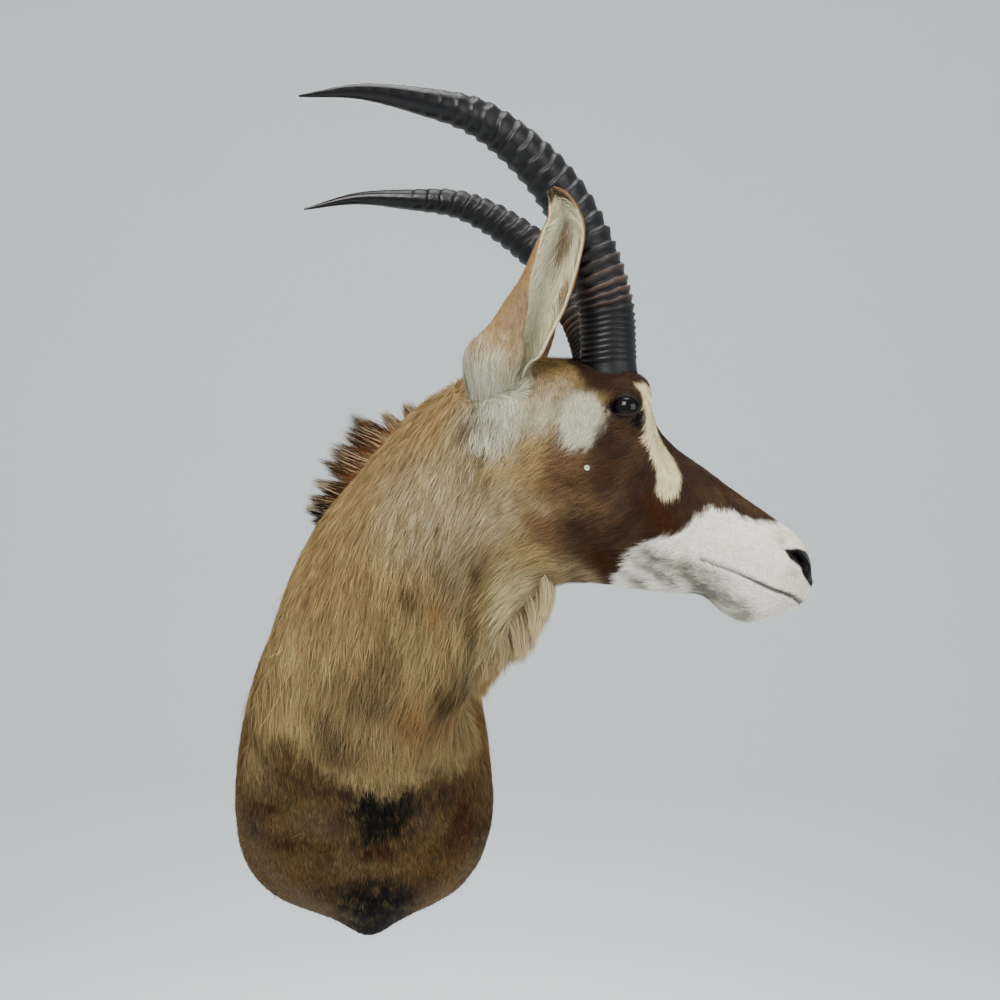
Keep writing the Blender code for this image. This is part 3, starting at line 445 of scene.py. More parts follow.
BODY_LIES = (
    Lie((0.100, -0.430, 0.360), 0.050, (-0.30, 0, -1), 0.021, 0.13),
    Lie((0.046, -0.400, 0.400), 0.040, (-0.45, 0, -1), 0.017, 0.09),
    Lie((0.060, -0.440, 0.260), 0.050, (-0.22, 0, -1), 0.030, 0.17),
    Lie((-0.020, -0.330, 0.300), 0.050, (-0.35, 0, -1), 0.020, 0.09),
    Lie((-0.080, -0.280, 0.150), 0.050, (-0.15, 0, -1), 0.028, 0.10),
    Lie((-0.150, -0.100, 0.100), 0.070, (-0.05, -0.1, -1), 0.020, 0.08),
    Lie((0.000, -0.380, 0.100), 0.035, (-0.28, 0, -1), 0.045, 0.20),
    Lie((0.050, -0.340, 0.050), 0.030, (0.08, 0, -1), 0.050, 0.22),
    Lie((0.105, -0.360, 0.100), 0.035, (-0.25, 0, -1), 0.048, 0.22),
    Lie((0.155, -0.350, 0.110), 0.030, (-0.52, 0, -0.87), 0.048, 0.22),
    Lie((0.140, -0.300, 0.030), 0.030, (-0.05, 0, -1), 0.048, 0.22),
    Lie((0.195, -0.400, 0.165), 0.035, (-0.15, 0, -1), 0.050, 0.26),
    Lie((0.193, -0.470, 0.267), 0.025, (-0.52, 0, -0.87), 0.030, 0.18),
    Lie((0.250, -0.470, 0.280), 0.030, (-0.80, 0, -0.60), 0.026, 0.20),
    Lie((0.215, -0.480, 0.330), 0.035, (-0.72, 0, -0.70), 0.023, 0.16),
    Lie((0.180, -0.460, 0.400), 0.035, (-0.35, 0, -0.94), 0.020, 0.13),
    Lie((0.020, -0.240, -0.120), 0.050, (0.00, 0.3, -1), 0.012, 0.08),
    Lie((-0.090, -0.200, -0.120), 0.060, (-0.10, 0.3, -1), 0.012, 0.08),
    Lie((0.130, -0.160, -0.120), 0.060, (0.10, 0.3, -1), 0.012, 0.08),
    Lie((0.020, -0.150, -0.230), 0.060, (0.00, 0.9, -0.5), 0.011, 0.08),
    Lie((-0.100, -0.050, -0.220), 0.080, (0.00, 0.9, -0.5), 0.012, 0.08),
    Lie((0.110, -0.040, -0.220), 0.080, (0.00, 0.9, -0.5), 0.012, 0.08),
    Lie((0.190, -0.040, 0.000), 0.070, (0.05, 0.2, -1), 0.018, 0.10),
    Lie((0.150, -0.080, 0.180), 0.090, (0.00, 0.3, -1), 0.024, 0.12),
    Lie((0.200, -0.260, 0.300), 0.080, (-0.20, 0.3, -1), 0.024, 0.14),
    Lie((0.050, -0.150, 0.270), 0.080, (0.05, 0.4, -1), 0.022, 0.12),
)


def unit(vectors):
    return vectors / np.maximum(np.linalg.norm(vectors, axis=-1, keepdims=True), 1e-12)


def dot(a, b):
    return np.sum(a * b, axis=-1, keepdims=True)


def ramp(values, low, high):
    """0 below low and 1 above high, with a smooth rise between; low may be the larger."""
    t = np.clip((values - low) / (high - low), 0, 1)
    return t * t * (3 - 2 * t)


def spline(values, place):
    """A smooth curve through equally spaced rows of values; place counts the rows."""
    values = np.asarray(values, float)
    last = len(values) - 1
    i = np.clip(np.floor(place).astype(int), 0, last - 1)
    t = (place - i)[:, None]
    rows = np.vstack([2 * values[:1] - values[1:2], values, 2 * values[-1:] - values[-2:-1]])
    p0, p1, p2, p3 = (rows[i + k] for k in range(4))
    return 0.5 * (2 * p1 + (p2 - p0) * t + (2 * p0 - 5 * p1 + 4 * p2 - p3) * t ** 2
                  + (3 * p1 - p0 - 3 * p2 + p3) * t ** 3)


def along(points, share):
    return spline(points, np.asarray(share) * (len(points) - 1))


def to_head(points):
    return (points - np.array(HEAD_ORIGIN)) @ HEAD_TURN


def from_head(points):
    return points @ HEAD_TURN.T + np.array(HEAD_ORIGIN)


def scatter(keys, seed):
    """A repeatable number from 0 to 1 for each row of whole numbers."""
    mixed = np.full(len(keys), seed * 2654435761 % 2 ** 32, np.uint64)
    for column, prime in zip(keys.T.astype(np.int64), (73856093, 19349663, 83492791)):
        mixed ^= (column * prime).astype(np.uint64) & np.uint64(0xFFFFFFFF)
        mixed = (mixed * np.uint64(2246822519) + np.uint64(3266489917)) & np.uint64(0xFFFFFFFF)
        mixed ^= mixed >> np.uint64(15)
    return mixed.astype(float) / 2 ** 32


def noise(points, size, seed):
    """Smooth noise from -1 to 1 whose lumps are about this size in metres, alike or one for each axis."""
    q = points / np.asarray(size, float)
    cell = np.floor(q).astype(np.int64)
    f = q - cell
    f = f * f * (3 - 2 * f)
    total = np.zeros(len(points))
    for corner in np.ndindex(2, 2, 2):
        weight = np.prod(np.where(corner, f, 1 - f), axis=1)
        total += weight * scatter(cell + np.array(corner), seed)
    return total * 2 - 1


def line_distance(x, z, points):
    """Distance to a line of points on the side of the head."""
    best = np.full(len(x), 1.0)
    for (ax, az), (bx, bz) in zip(points, points[1:]):
        dx, dz = bx - ax, bz - az
        t = np.clip(((x - ax) * dx + (z - az) * dz) / (dx * dx + dz * dz), 0, 1)
        best = np.minimum(best, np.hypot(x - ax - t * dx, z - az - t * dz))
    return best


def inside_by(x, z, outline):
    """How far each point lies inside an outline; outside it, less than nothing."""
    closed = outline + outline[:1]
    odd = np.zeros(len(x), bool)
    for (ax, az), (bx, bz) in zip(closed, closed[1:]):
        if az != bz:
            odd ^= ((az > z) != (bz > z)) & (x < (bx - ax) * (z - az) / (bz - az) + ax)
    distance = line_distance(x, z, closed)
    return np.where(odd, distance, -distance)


def oval(x, z, centre, tilt, long, short):
    """1 on an oval's edge, less inside it and more outside."""
    dx, dz = x - centre[0], z - centre[1]
    c, s = math.cos(tilt), math.sin(tilt)
    return np.hypot((dx * c + dz * s) / long, (dz * c - dx * s) / short)


def stations():
    turn = HEAD_TURN.T
    rows = [np.hstack([s.nape, s.throat, s.side, s[3:]]) for s in BODY_STATIONS]
    for s in HEAD_STATIONS:
        ends = from_head(np.array([s.nape, s.throat], float)).ravel()
        rows.append(np.hstack([ends, np.array(s.side, float) @ turn, s[3:]]))
    return np.array(rows)


STATIONS = stations()
LAST_STATION = len(STATIONS) - 1


def section(place, angle):
    """Points of the plain loft: place counts stations, angle runs from the nape round the right side."""
    values = spline(STATIONS, place)
    nape, throat, side = values[:, :3], values[:, 3:6], values[:, 6:9]
    width, widest, top, low = values[:, 9:].T
    c, s = np.cos(angle), np.sin(angle)
    power = np.where(c >= 0, top, low)
    reach = np.abs(c) ** (2 / power)
    share = np.where(c >= 0, widest * (1 - reach), widest + (1 - widest) * reach)
    across = np.sign(s) * np.abs(s) ** (2 / power) * width
    return nape + (throat - nape) * share[:, None] + unit(side) * across[:, None]


def pushed(points, bump, side=1):
    mirror = np.array([1, side, 1])
    away = (points - np.array(bump.centre) * mirror) / np.array(bump.reach)
    return np.exp(-np.sum(away * away, axis=1))[:, None] * np.array(bump.push) * mirror


def shaped(points):
    """The loft after the bumps of the body and the face have moved it."""
    for bump in BODY_BUMPS:
        points = points + pushed(points, bump)
    start = to_head(points)
    moved = start + sum(pushed(start, bump, side) for bump in FACE_BUMPS for side in (1, -1))
    return from_head(with_eyelids(moved))


def eye_oval(q):
    return oval(q[:, 0], q[:, 2], EYE_OPENING, EYE_TILT, EYE_LONG, EYE_SHORT)


def with_eyelids(q):
    """Lays the skin round each eye on the eyeball, and opens it over the eye."""
    e = np.where(np.abs(q[:, 1]) > EYE_SIDE, eye_oval(q), FAR_OFF)
    off = np.hypot(q[:, 0] - EYE_CENTRE[0], q[:, 2] - EYE_CENTRE[2])
    ball = EYE_CENTRE[1] + np.sqrt(np.maximum(EYE_RADIUS ** 2 - off ** 2, 0.006 ** 2))
    laid = np.where(e < 0.97, ball - 0.006, ball + 0.0016)
    weight = ramp(e, 2.1, 1.15)
    out = q.copy()
    out[:, 1] = np.sign(q[:, 1]) * (np.abs(q[:, 1]) * (1 - weight) + laid * weight)
    return out


def relief(points):
    """Height of the fine forms over the plain skin: lips, nostrils, folds, creases and muscle."""
    q = to_head(points)
    x, z, y = q[:, 0], q[:, 2], np.abs(q[:, 1])
    height = 0.0008 * noise(points, 0.028, 11) + 0.0004 * noise(points, 0.011, 12)
    mouth = line_distance(x, z, MOUTH)
    near = (z > THROAT_LEVEL) & (x > -0.2)
    height += np.where(near, 0.0014 * np.exp(-((mouth - 0.006) / 0.004) ** 2)
                       - 0.0042 * np.exp(-(mouth / 0.0019) ** 2), 0)
    for fold, depth, width in FOLDS:
        away = line_distance(x, z, fold)
        height -= np.where(near & (y > 0.03), depth * np.exp(-(away / width) ** 2), 0)
        height += np.where(near & (y > 0.03), depth * 0.4 * np.exp(-((away - 2.2 * width) / width) ** 2), 0)
    nostril = oval(x, z, NOSTRIL, NOSTRIL_TILT, NOSTRIL_LONG, NOSTRIL_SHORT)
    height -= np.where(near & (y > 0.008), 0.0085 * ramp(nostril, 1.05, 0.35), 0)
    height += np.where(near & (y > 0.008), 0.0014 * np.exp(-((nostril - 1.35) / 0.3) ** 2), 0)
    tear = line_distance(x, z, TEAR_LINE)
    height -= np.where(y > EYE_SIDE, 0.0022 * np.exp(-(tear / 0.0028) ** 2), 0)
    return height - 0.003 * tucks(points)


class Hide:
    """The skin as a closed grid of points, which may be read between its rows and columns."""

    def __init__(self):
        head_start = len(BODY_STATIONS)
        body = np.linspace(0, head_start, head_start * BODY_ROWS + 1)
        face = np.linspace(head_start, LAST_STATION, (LAST_STATION - head_start) * HEAD_ROWS + 1)[1:]
        self.places = np.hstack([body, face])
        angles = np.arange(SKIN_COLUMNS) * math.tau / SKIN_COLUMNS
        place, angle = np.meshgrid(self.places, angles, indexing="ij")
        points = shaped(section(place.ravel(), angle.ravel())).reshape(*place.shape, 3)
        middle, tip = points[-1].mean(axis=0), from_head(np.array([NOSE_TIP]))[0]
        turns = np.linspace(0, math.pi / 2, NOSE_ROWS + 1)[1:]
        cap = [middle + (points[-1] - middle) * math.cos(t) + (tip - middle) * math.sin(t) for t in turns]
        self.points = np.concatenate([points, cap])
        self.rows = len(self.points) - 1
        self.measure()
        flat = self.points.reshape(-1, 3)
        self.points = (flat + self.normals.reshape(-1, 3) * relief(flat)[:, None]).reshape(self.points.shape)
        self.points[0, :, 1] = -WALL_GAP
        self.points[-1] = self.points[-1].mean(axis=0)
        self.measure()

    def measure(self):
        self.ahead = np.gradient(self.points, axis=0)
        self.round = (np.roll(self.points, -1, axis=1) - np.roll(self.points, 1, axis=1)) / 2
        self.normals = unit(np.cross(self.round, self.ahead))
        middle = self.points.mean(axis=1, keepdims=True)
        if np.mean(dot(self.normals, self.points - middle)) < 0:
            self.normals = -self.normals

    def read(self, table, row, column):
        i = np.clip(np.floor(row).astype(int), 0, self.rows - 1)
        j = np.floor(column).astype(int)
        u, v = (row - i)[:, None], (column - j)[:, None]
        j %= SKIN_COLUMNS
        k = (j + 1) % SKIN_COLUMNS
        return (table[i, j] * (1 - u) * (1 - v) + table[i + 1, j] * u * (1 - v)
                + table[i, k] * (1 - u) * v + table[i + 1, k] * u * v)

    def step(self, row, column, heading):
        """Moves along the skin by a vector, as far as its surface lets it."""
        a, b = self.read(self.ahead, row, column), self.read(self.round, row, column)
        aa, bb, ab = dot(a, a), dot(b, b), dot(a, b)
        det = np.maximum(aa * bb - ab * ab, 1e-14)
        ha, hb = dot(heading, a), dot(heading, b)
        du = np.clip((ha * bb - hb * ab) / det, -12, 12)[:, 0]
        dv = np.clip((hb * aa - ha * ab) / det, -12, 12)[:, 0]
        return np.clip(row + du, 0, self.rows - 0.01), column + dv

    def sow(self, count, rng, density):
        """Random places, spread by area and by the density at each point of the grid."""
        a, b = self.ahead[:-1], self.round[:-1]
        area = np.linalg.norm(np.cross(a, b), axis=2)
        weight = area.ravel() * density
        picks = rng.choice(len(weight), size=count, p=weight / weight.sum())
        row, column = np.divmod(picks, SKIN_COLUMNS)
        return row + rng.random(count), column + rng.random(count)


def all_of(colour, points):
    """One colour for every point."""
    return np.tile(np.array(colour), (len(points), 1))


def over(base, colour, mask):
    return base * (1 - mask[:, None]) + np.array(colour)[None, :3] * mask[:, None]


def lay_patches(colour, points, patches, tones, fray):
    for patch in patches:
        away = (points - np.array(patch.centre)) / np.array(patch.reach)
        weight = np.exp(-np.sum(away * away, axis=1)) * patch.strength * (1 + 0.9 * fray)
        colour = over(colour, tones[patch.tone], np.clip(weight, 0, 1))
    return colour


def tucks(points):
    """1 in the short creases where the skin is tucked at either side of the chest's tip."""
    total = np.zeros(len(points))
    for centre, slant in TUCKS:
        away = points - np.array(centre)
        weight = np.exp(-np.sum((away / np.array((0.024, 0.09, 0.030))) ** 2, axis=1) * 1.5)
        phase = away[:, 0] * math.cos(slant) + away[:, 2] * math.sin(slant) + 0.002 * noise(points, 0.02, 15)
        total += weight * (1 - np.abs(np.sin(phase * 420))) ** 1.5
    return np.clip(total * 1.5, 0, 1)


def coat_colour(points, tones):
    """The coat's colour at points of the skin, before hairs vary it."""
    fray = noise(points, 0.010, 1) * 0.6 + noise(points, 0.004, 2) * 0.4
    broad = noise(points, (0.05, 0.05, 0.09), 3)
    streak = noise(points, (0.005, 0.005, 0.045), 4)
    thin = noise(points, (0.0024, 0.0024, 0.030), 13)
    colour = over(all_of(tones["straw"], points), tones["straw_light"],
                  np.clip(0.15 + 0.35 * broad + 0.30 * streak + 0.45 * thin, 0, 1))
    colour = over(colour, tones["taupe"],
                  np.clip(0.12 - 0.45 * streak - 0.55 * thin + 0.4 * noise(points, 0.03, 5), 0, 1) * 0.75)
    colour = lay_patches(colour, points, BODY_PATCHES, tones, 0.9 * streak + 0.9 * thin + 0.3 * fray)
    line = np.array(CHEST_LINE)
    edge = np.interp(points[:, 0], line[:, 0], line[:, 1]) + 0.016 * noise(points, (0.012, 0.02, 0.05), 6) \
        + 0.008 * noise(points, (0.004, 0.02, 0.02), 14)
    soft = 0.016 + 0.018 * ramp(points[:, 0], -0.01, -0.08)
    low = ramp((points[:, 2] - edge) / soft, 1.3, -1.0)
    brisket = over(all_of(tones["brisket"], points), tones["ochre_dark"],
                   np.clip(0.20 + 0.35 * broad + 0.5 * fray, 0, 1))
    brisket = lay_patches(brisket, points, BRISKET_PATCHES, tones, 1.9 * fray)
    speckle = noise(points, 0.0035, 9) + 0.5 * fray
    brisket = over(brisket, tones["mottle"], ramp(speckle, 0.25, 0.9) * 0.45)
    brisket = over(brisket, tones["black"], ramp(speckle, -0.2, -0.9) * 0.35)
    # Painted shade: black laid in the creases of the tucks
    brisket = over(brisket, tones["black"], tucks(points) * 0.9)
    colour = colour * (1 - low[:, None]) + brisket * low[:, None]
    q = to_head(points)
    q[:, 1] = np.abs(q[:, 1])
    colour = lay_patches(colour, q, POLL_PATCHES, tones, fray)
    x, z = q[:, 0], q[:, 2]

    def marking(region):
        return ramp(inside_by(x, z, region.outline) + region.fray * fray, -region.fade, region.fade)

    face = all_of(tones["face"], points)
    face = over(face, tones["cheek"], np.clip(0.06 + 0.25 * noise(points, 0.02, 7) + 0.2 * fray, 0, 1))
    face = lay_patches(face, q, FACE_PATCHES, tones, fray)
    face_mask = marking(FACE)[:, None]
    colour = colour * (1 - face_mask) + face * face_mask
    for region in MARKINGS:
        aside = ramp(q[:, 1] + 0.3 * fray * region.fray, 0.030, 0.040) if region.tone == "brow" else 1.0
        colour = over(colour, tones[region.tone], marking(region) * aside)
    muzzle_mask = marking(MARKINGS[-1])[:, None]
    muzzle = lay_patches(colour, q, MUZZLE_PATCHES, tones, fray)
    colour = colour * (1 - muzzle_mask) + muzzle * muzzle_mask
    collar = np.linalg.norm((q - np.array(HORN_COLLAR)) / np.array((1.0, 1.0, 1.3)), axis=1)
    colour = over(colour, tones["face"], ramp(collar + 0.006 * fray, 0.054, 0.040))
    mouth = line_distance(x, z, MOUTH) - 0.0014 * ramp(x, 0.19, 0.29)
    colour = over(colour, tones["black"], np.where(z > THROAT_LEVEL, ramp(mouth, 0.0022, 0.0006), 0) * 0.8)
    for region, far in ((NOSE_BLACK, 0.0), (TEAR_BLACK, EYE_SIDE)):
        colour = over(colour, tones["black"], np.where(q[:, 1] > far, marking(region), 0))
    eye = np.where(q[:, 1] > EYE_SIDE, eye_oval(q), FAR_OFF)
    colour = over(colour, tones["black"], ramp(eye, 1.34, 1.14))
    return colour


def mirrored_places(row, column):
    """The same places on the right side of the skin."""
    return row, SKIN_COLUMNS / 2 - np.abs(column % SKIN_COLUMNS - SKIN_COLUMNS / 2)


def colour_at(hide, row, column, points, tones):
    """Colours by place: the unseen left side of the neck and head repeats the right side's markings."""
    own = coat_colour(points, tones)
    twin = coat_colour(hide.read(hide.points, *mirrored_places(row, column)), tones)
    place = np.interp(row, np.arange(len(hide.places)), hide.places)
    share = ramp(place + 0.4 * noise(points, 0.03, 8), OWN_SIDE, MIRRORED)[:, None]
    return own * (1 - share) + twin * share


def lie_at(points):
    """Direction, length and lift of the hair at points of the skin."""
    q = to_head(points)
    side = np.where(q[:, 1:2] < 0, -1.0, 1.0)
    mirror = np.hstack([np.ones_like(side), side, np.ones_like(side)])
    mirrored = q * mirror
    total = np.full((len(points), 1), 1e-9)
    heading, facts = np.zeros((len(points), 3)), np.zeros((len(points), 2))
    for lies, local in ((HEAD_LIES, True), (BODY_LIES, False)):
        for lie in lies:
            near = (mirrored if local else points) - np.array(lie.centre)
            weight = np.exp(-np.sum(near * near, axis=1, keepdims=True) / (2 * lie.reach ** 2)) + 1e-7
            direction = np.array(lie.direction, float)
            if local:
                direction = (direction * mirror) @ HEAD_TURN.T
            heading += weight * direction
            facts += weight * np.array((lie.length, lie.lift))
            total += weight
    return unit(heading), facts[:, 0] / total[:, 0], facts[:, 1] / total[:, 0]


class Finish:
    """A material whose shader sums are written as Python expressions on its sockets."""

    def __init__(self, name, **constants):
        self.material = bpy.data.materials.new(name)
        self.material.use_nodes = True
        self.tree = self.material.node_tree
        self.shader = self.tree.nodes["Principled BSDF"]
        for socket, value in constants.items():
            self.shader.inputs[socket.replace("_", " ")].default_value = value

    def feed(self, socket, value):
        if isinstance(value, Signal):
            self.tree.links.new(value.socket, socket)
        else:
            socket.default_value = value

    def node(self, kind, settings=None, sockets=None, output=0):
        made = self.tree.nodes.new(f"ShaderNode{kind}")
        for name, value in (settings or {}).items():
            if name == "stops":
                for stop, (position, colour) in zip([*made.color_ramp.elements, *(
                        made.color_ramp.elements.new(0.5) for _ in value[2:])], value):
                    stop.position, stop.color = position, (*colour[:3], 1)
            else:
                setattr(made, name, value)
        for name, value in (sockets or {}).items():
            self.feed(made.inputs[name], value)
        return Signal(self, made.outputs[output])

    def place(self, scale=(1, 1, 1)):
        """Object coordinates, scaled."""
        where = self.node("TexCoord", output="Object")
        return self.node("Mapping", None, {"Vector": where, "Scale": scale})

    def grain(self, scale, detail=3.0, roughness=0.6, stretch=(1, 1, 1)):
        return self.node("TexNoise", None, {"Vector": self.place(stretch), "Scale": scale,
                                            "Detail": detail, "Roughness": roughness})

    def reading(self, name):
        """A colour attribute of the piece."""
        return self.node("Attribute", {"attribute_name": name, "attribute_type": "GEOMETRY"}, output="Color")

    def grained(self, grain, low, high):
        """The piece's own colour, shaded by a grain between two stops of a ramp."""
        shade = self.node("ValToRGB", {"stops": (low, high)}, {"Fac": grain})
        return self.mix(1.0, self.reading("coat"), shade, "MULTIPLY")

    def number(self, name):
        return self.node("Attribute", {"attribute_name": name, "attribute_type": "GEOMETRY"}, output="Fac")

    def mix(self, factor, first, second, kind="MIX"):
        first, second = ((*c[:3], 1) if isinstance(c, tuple) else c for c in (first, second))
        return self.node("Mix", {"data_type": "RGBA", "blend_type": kind},
                         {0: factor, 6: first, 7: second}, 2)

    def between(self, value, low, high, new_low=0.0, new_high=1.0):
        return self.node("MapRange", None, {"Value": value, "From Min": low, "From Max": high,
                                            "To Min": new_low, "To Max": new_high})

    def set(self, **sockets):
        for name, value in sockets.items():
            self.feed(self.shader.inputs[name.replace("_", " ")], value)

    def bump(self, height, distance, strength=1.0):
        sockets = {"Height": height, "Distance": distance, "Strength": strength}
        self.set(Normal=self.node("Bump", None, sockets))


class Signal:
    """A socket's value that adds Math nodes as it is used in sums."""

    def __init__(self, finish, socket):
        self.finish, self.socket = finish, socket

    def maths(self, operation, first, second):
        return self.finish.node("Math", {"operation": operation}, {0: first, 1: second})

    def __add__(self, other):
        return self.maths("ADD", self, other)

    def __mul__(self, other):
        return self.maths("MULTIPLY", self, other)

    def __sub__(self, other):
        return self.maths("SUBTRACT", self, other)

    def __rsub__(self, other):
        return self.maths("SUBTRACT", other, self)

    def __pow__(self, other):
        return self.maths("POWER", self, other)

    __radd__, __rmul__ = __add__, __mul__


def colour_property(name, description, default):
    return bpy.props.FloatVectorProperty(name=name, description=description, subtype="COLOR", size=3,
                                         min=0, max=1, default=default)


def count_property(name, description, default, **limits):
    return bpy.props.IntProperty(name=name, description=description, default=default, **limits)


def length_property(name, description, default):
    return bpy.props.FloatProperty(name=name, description=description, default=default, min=0, unit="LENGTH",
                                   precision=4)


class CoatSettings(bpy.types.PropertyGroup):
    straw: colour_property("Straw", "Main colour of the neck", paint(152, 127, 84))
    straw_light: colour_property("Light straw", "Lighter hair of the neck", paint(172, 150, 100))
    neck_grey: colour_property("Neck grey", "Greyer hair of the upper neck", paint(169, 154, 122))
    taupe: colour_property("Taupe", "Grey-brown hair among the straw", paint(93, 76, 53))
    tan: colour_property("Tan", "Golden edges of the neck and ear roots", paint(152, 125, 80))
    ochre: colour_property("Ochre", "Top of the head", paint(150, 124, 76))
    ochre_dark: colour_property("Dark ochre", "Flanks and lower shoulder", paint(99, 70, 34))
    umber: colour_property("Umber", "Dark streaks of the neck", paint(66, 49, 30))
    rust: colour_property("Rust", "Red-brown of the brisket and the face", paint(62, 32, 10))
    rust_light: colour_property("Light rust", "Red-brown tinge of the neck", paint(131, 91, 51))
    brisket: colour_property("Brisket", "Dark brown of the lower chest", paint(98, 78, 48))
    mottle: colour_property("Mottled grey", "Grey-brown spots", paint(93, 76, 53))
    face: colour_property("Face", "Very dark brown of the face", paint(56, 40, 30))
    cheek: colour_property("Cheek", "Warm brown of the cheeks", paint(116, 90, 60))
    cheek_light: colour_property("Light cheek", "Paler hair at the back of the cheeks", paint(158, 138, 104))
    white: colour_property("White", "Patch behind the eye", paint(194, 186, 163))
    brow: colour_property("Brow", "Cream stripe before the eye", paint(226, 212, 168))
    muzzle: colour_property("Muzzle", "White of the muzzle", paint(254, 249, 232))
    nose_cream: colour_property("Nose cream", "Warmer white at the nose", paint(246, 236, 208))
    # Partly the lip's own grey, partly painted shade in the lip folds, under the jaw and by the nostril
    lip_grey: colour_property("Lip grey", "Grey of the lower lip and chin", paint(132, 129, 112))
    # Painted shadow under the lower lip
    lip_dark: colour_property("Lip shadow", "Dark grey under the lower lip", paint(112, 106, 93))
    cream: colour_property("Cream", "Beard and throat", paint(196, 182, 138))
    burr: colour_property("Ear root", "Whitish grey of the ear roots", paint(194, 192, 172))
    black: colour_property("Black", "Nose, lids, lips and the tips of the mane", paint(9, 7, 6))
    neck_hairs: count_property("Neck hairs", "Hairs on one side of the neck", 64000, min=100, max=66000)
    face_hairs: count_property("Face hairs", "Hairs on one side of the head", 62000, min=100, max=66000)
    hair_width: length_property("Hair width", "Width of a lock of coat hair at its root", 0.0008)


class EarSettings(bpy.types.PropertyGroup):
    back: colour_property("Back", "Fawn back of the ears", paint(138, 106, 62))
    lining: colour_property("Lining", "Shadier hair inside the ears", paint(208, 198, 162))
    inner_hair: colour_property("Inner hair", "Long hair inside the ears", paint(236, 230, 200))
    shade: colour_property("Shade", "Brown down the middle of the lining", paint(112, 88, 60))
    rim: colour_property("Tip", "Dark edge of the ear tips", paint(88, 64, 38))
    spot: colour_property("Spot", "Brown spot inside the ears", paint(122, 80, 34))
    hairs: count_property("Ear hairs", "Hairs on one ear", 16000, min=100, max=30000)


class ManeSettings(bpy.types.PropertyGroup):
    root: colour_property("Root", "Tan at the roots of the mane", paint(160, 128, 84))
    middle: colour_property("Middle", "Red-brown of the mane", paint(96, 60, 34))
    tip: colour_property("Tip", "Black tips of the mane", paint(16, 11, 9))
    wisp: colour_property("Wisps", "Pale hairs between the tufts", paint(206, 190, 156))
    beard: colour_property("Beard", "Cream of the beard", paint(200, 184, 142))
    beard_low: colour_property("Lower beard", "Straw brown of the lower beard", paint(146, 120, 80))
    mane_hairs: count_property("Mane hairs", "Hairs in the mane", 8500, min=100)
    beard_hairs: count_property("Beard hairs", "Hairs in the beard", 11000, min=100)


class HornSettings(bpy.types.PropertyGroup):
    rings: count_property("Rings", "Ridges on each horn", 31, min=4, max=60)
    ridge: length_property("Ridge height", "Height of the ridges in the middle of a horn", 0.0042)
    valley: colour_property("Valleys", "Colour between the ridges", paint(6, 6, 8))
    # Lighter crests: partly the ridges' wear, partly painted highlight where they catch the light
    crest: colour_property("Crests", "Worn crests of the ridges", paint(32, 30, 32))
    worn: colour_property("Worn horn", "Brown where the horn has worn near its base", paint(84, 66, 52))
    tip: colour_property("Tip", "Polished tip", paint(14, 13, 15))


class EyeSettings(bpy.types.PropertyGroup):
    iris: colour_property("Iris", "Colour of the iris", paint(12, 11, 11))
    pupil: colour_property("Pupil", "Colour of the pupil", paint(4, 4, 6))
    lid: colour_property("Lids", "Colour of the eyelids", paint(16, 12, 11))


class BackSettings(bpy.types.PropertyGroup):
    veneer: colour_property("Veneer", "Face of the plywood", paint(196, 160, 112))
    veneer_dark: colour_property("Veneer grain", "Grain of the plywood", paint(150, 112, 70))
    ply: colour_property("Dark plies", "Darker layers on the plywood's edge", paint(120, 86, 54))
    steel: colour_property("Steel", "Zinc-plated steel", paint(190, 190, 186))
    raw_hide: colour_property("Hide edge", "Inside of the skin round the board", paint(178, 160, 128))


class StudioSettings(bpy.types.PropertyGroup):
    backdrop: colour_property("Backdrop", "Floor and backdrop", paint(222, 228, 230))
    light: bpy.props.FloatProperty(name="Light", description="Strength of the studio lights", default=1.0,
                                   min=0)


GROUPS = {"mount_coat": CoatSettings, "mount_ear": EarSettings, "mount_mane": ManeSettings,
          "mount_horn": HornSettings, "mount_eye": EyeSettings, "mount_back": BackSettings,
          "mount_studio": StudioSettings}


def settings(name):
    return getattr(bpy.context.scene, name)


def tones_of(group):
    return {name: tuple(getattr(group, name)) for name in group.bl_rna.properties.keys()
            if getattr(group.bl_rna.properties[name], "subtype", "") == "COLOR"}


def add_piece(name, mesh, material, replaced=()):
    """Makes a mesh a piece of the mount that rides on its one body."""
    piece = bpy.data.objects.new(name, mesh)
    bpy.context.scene.collection.objects.link(piece)
    mesh.materials.append(material)
    mesh.shade_smooth()
    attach(piece, "root")
    if replaced:
        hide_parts(*replaced)
    return piece


def mesh_from(bm, name, outwards=True):
    if outwards:
        bm.normal_update()
        bmesh.ops.recalc_face_normals(bm, faces=bm.faces)
    mesh = bpy.data.meshes.new(name)
    bm.to_mesh(mesh)
    bm.free()
    return mesh


def wrapped_mesh(name, points, attributes=None):
    """A grid bent onto rows of points, with its last column joined to its first."""
    rows, columns = points.shape[0] - 1, points.shape[1]
    bm = bmesh.new()
    bmesh.ops.create_grid(bm, x_segments=columns, y_segments=rows, size=0.5)
    keys = {key: bm.verts.layers.float.new(key) for key in (attributes or {})}
    for vertex in bm.verts:
        j, i = round((vertex.co.x + 0.5) * columns) % columns, round((vertex.co.y + 0.5) * rows)
        vertex.co = points[i, j]
        for key, layer in keys.items():
            vertex[layer] = attributes[key][i, j]
    bmesh.ops.remove_doubles(bm, verts=bm.verts, dist=1e-7)
    return mesh_from(bm, name)


def write_colours(mesh, name, colours):
    layer = mesh.color_attributes.new(name, "FLOAT_COLOR", "POINT")
    rgba = np.ones((len(mesh.vertices), 4), np.float32)
    rgba[:, :3] = colours
    layer.data.foreach_set("color", rgba.ravel())


def vertex_points(mesh):
    flat = np.empty(len(mesh.vertices) * 3, np.float32)
    mesh.vertices.foreach_get("co", flat)
    return flat.reshape(-1, 3).astype(float)


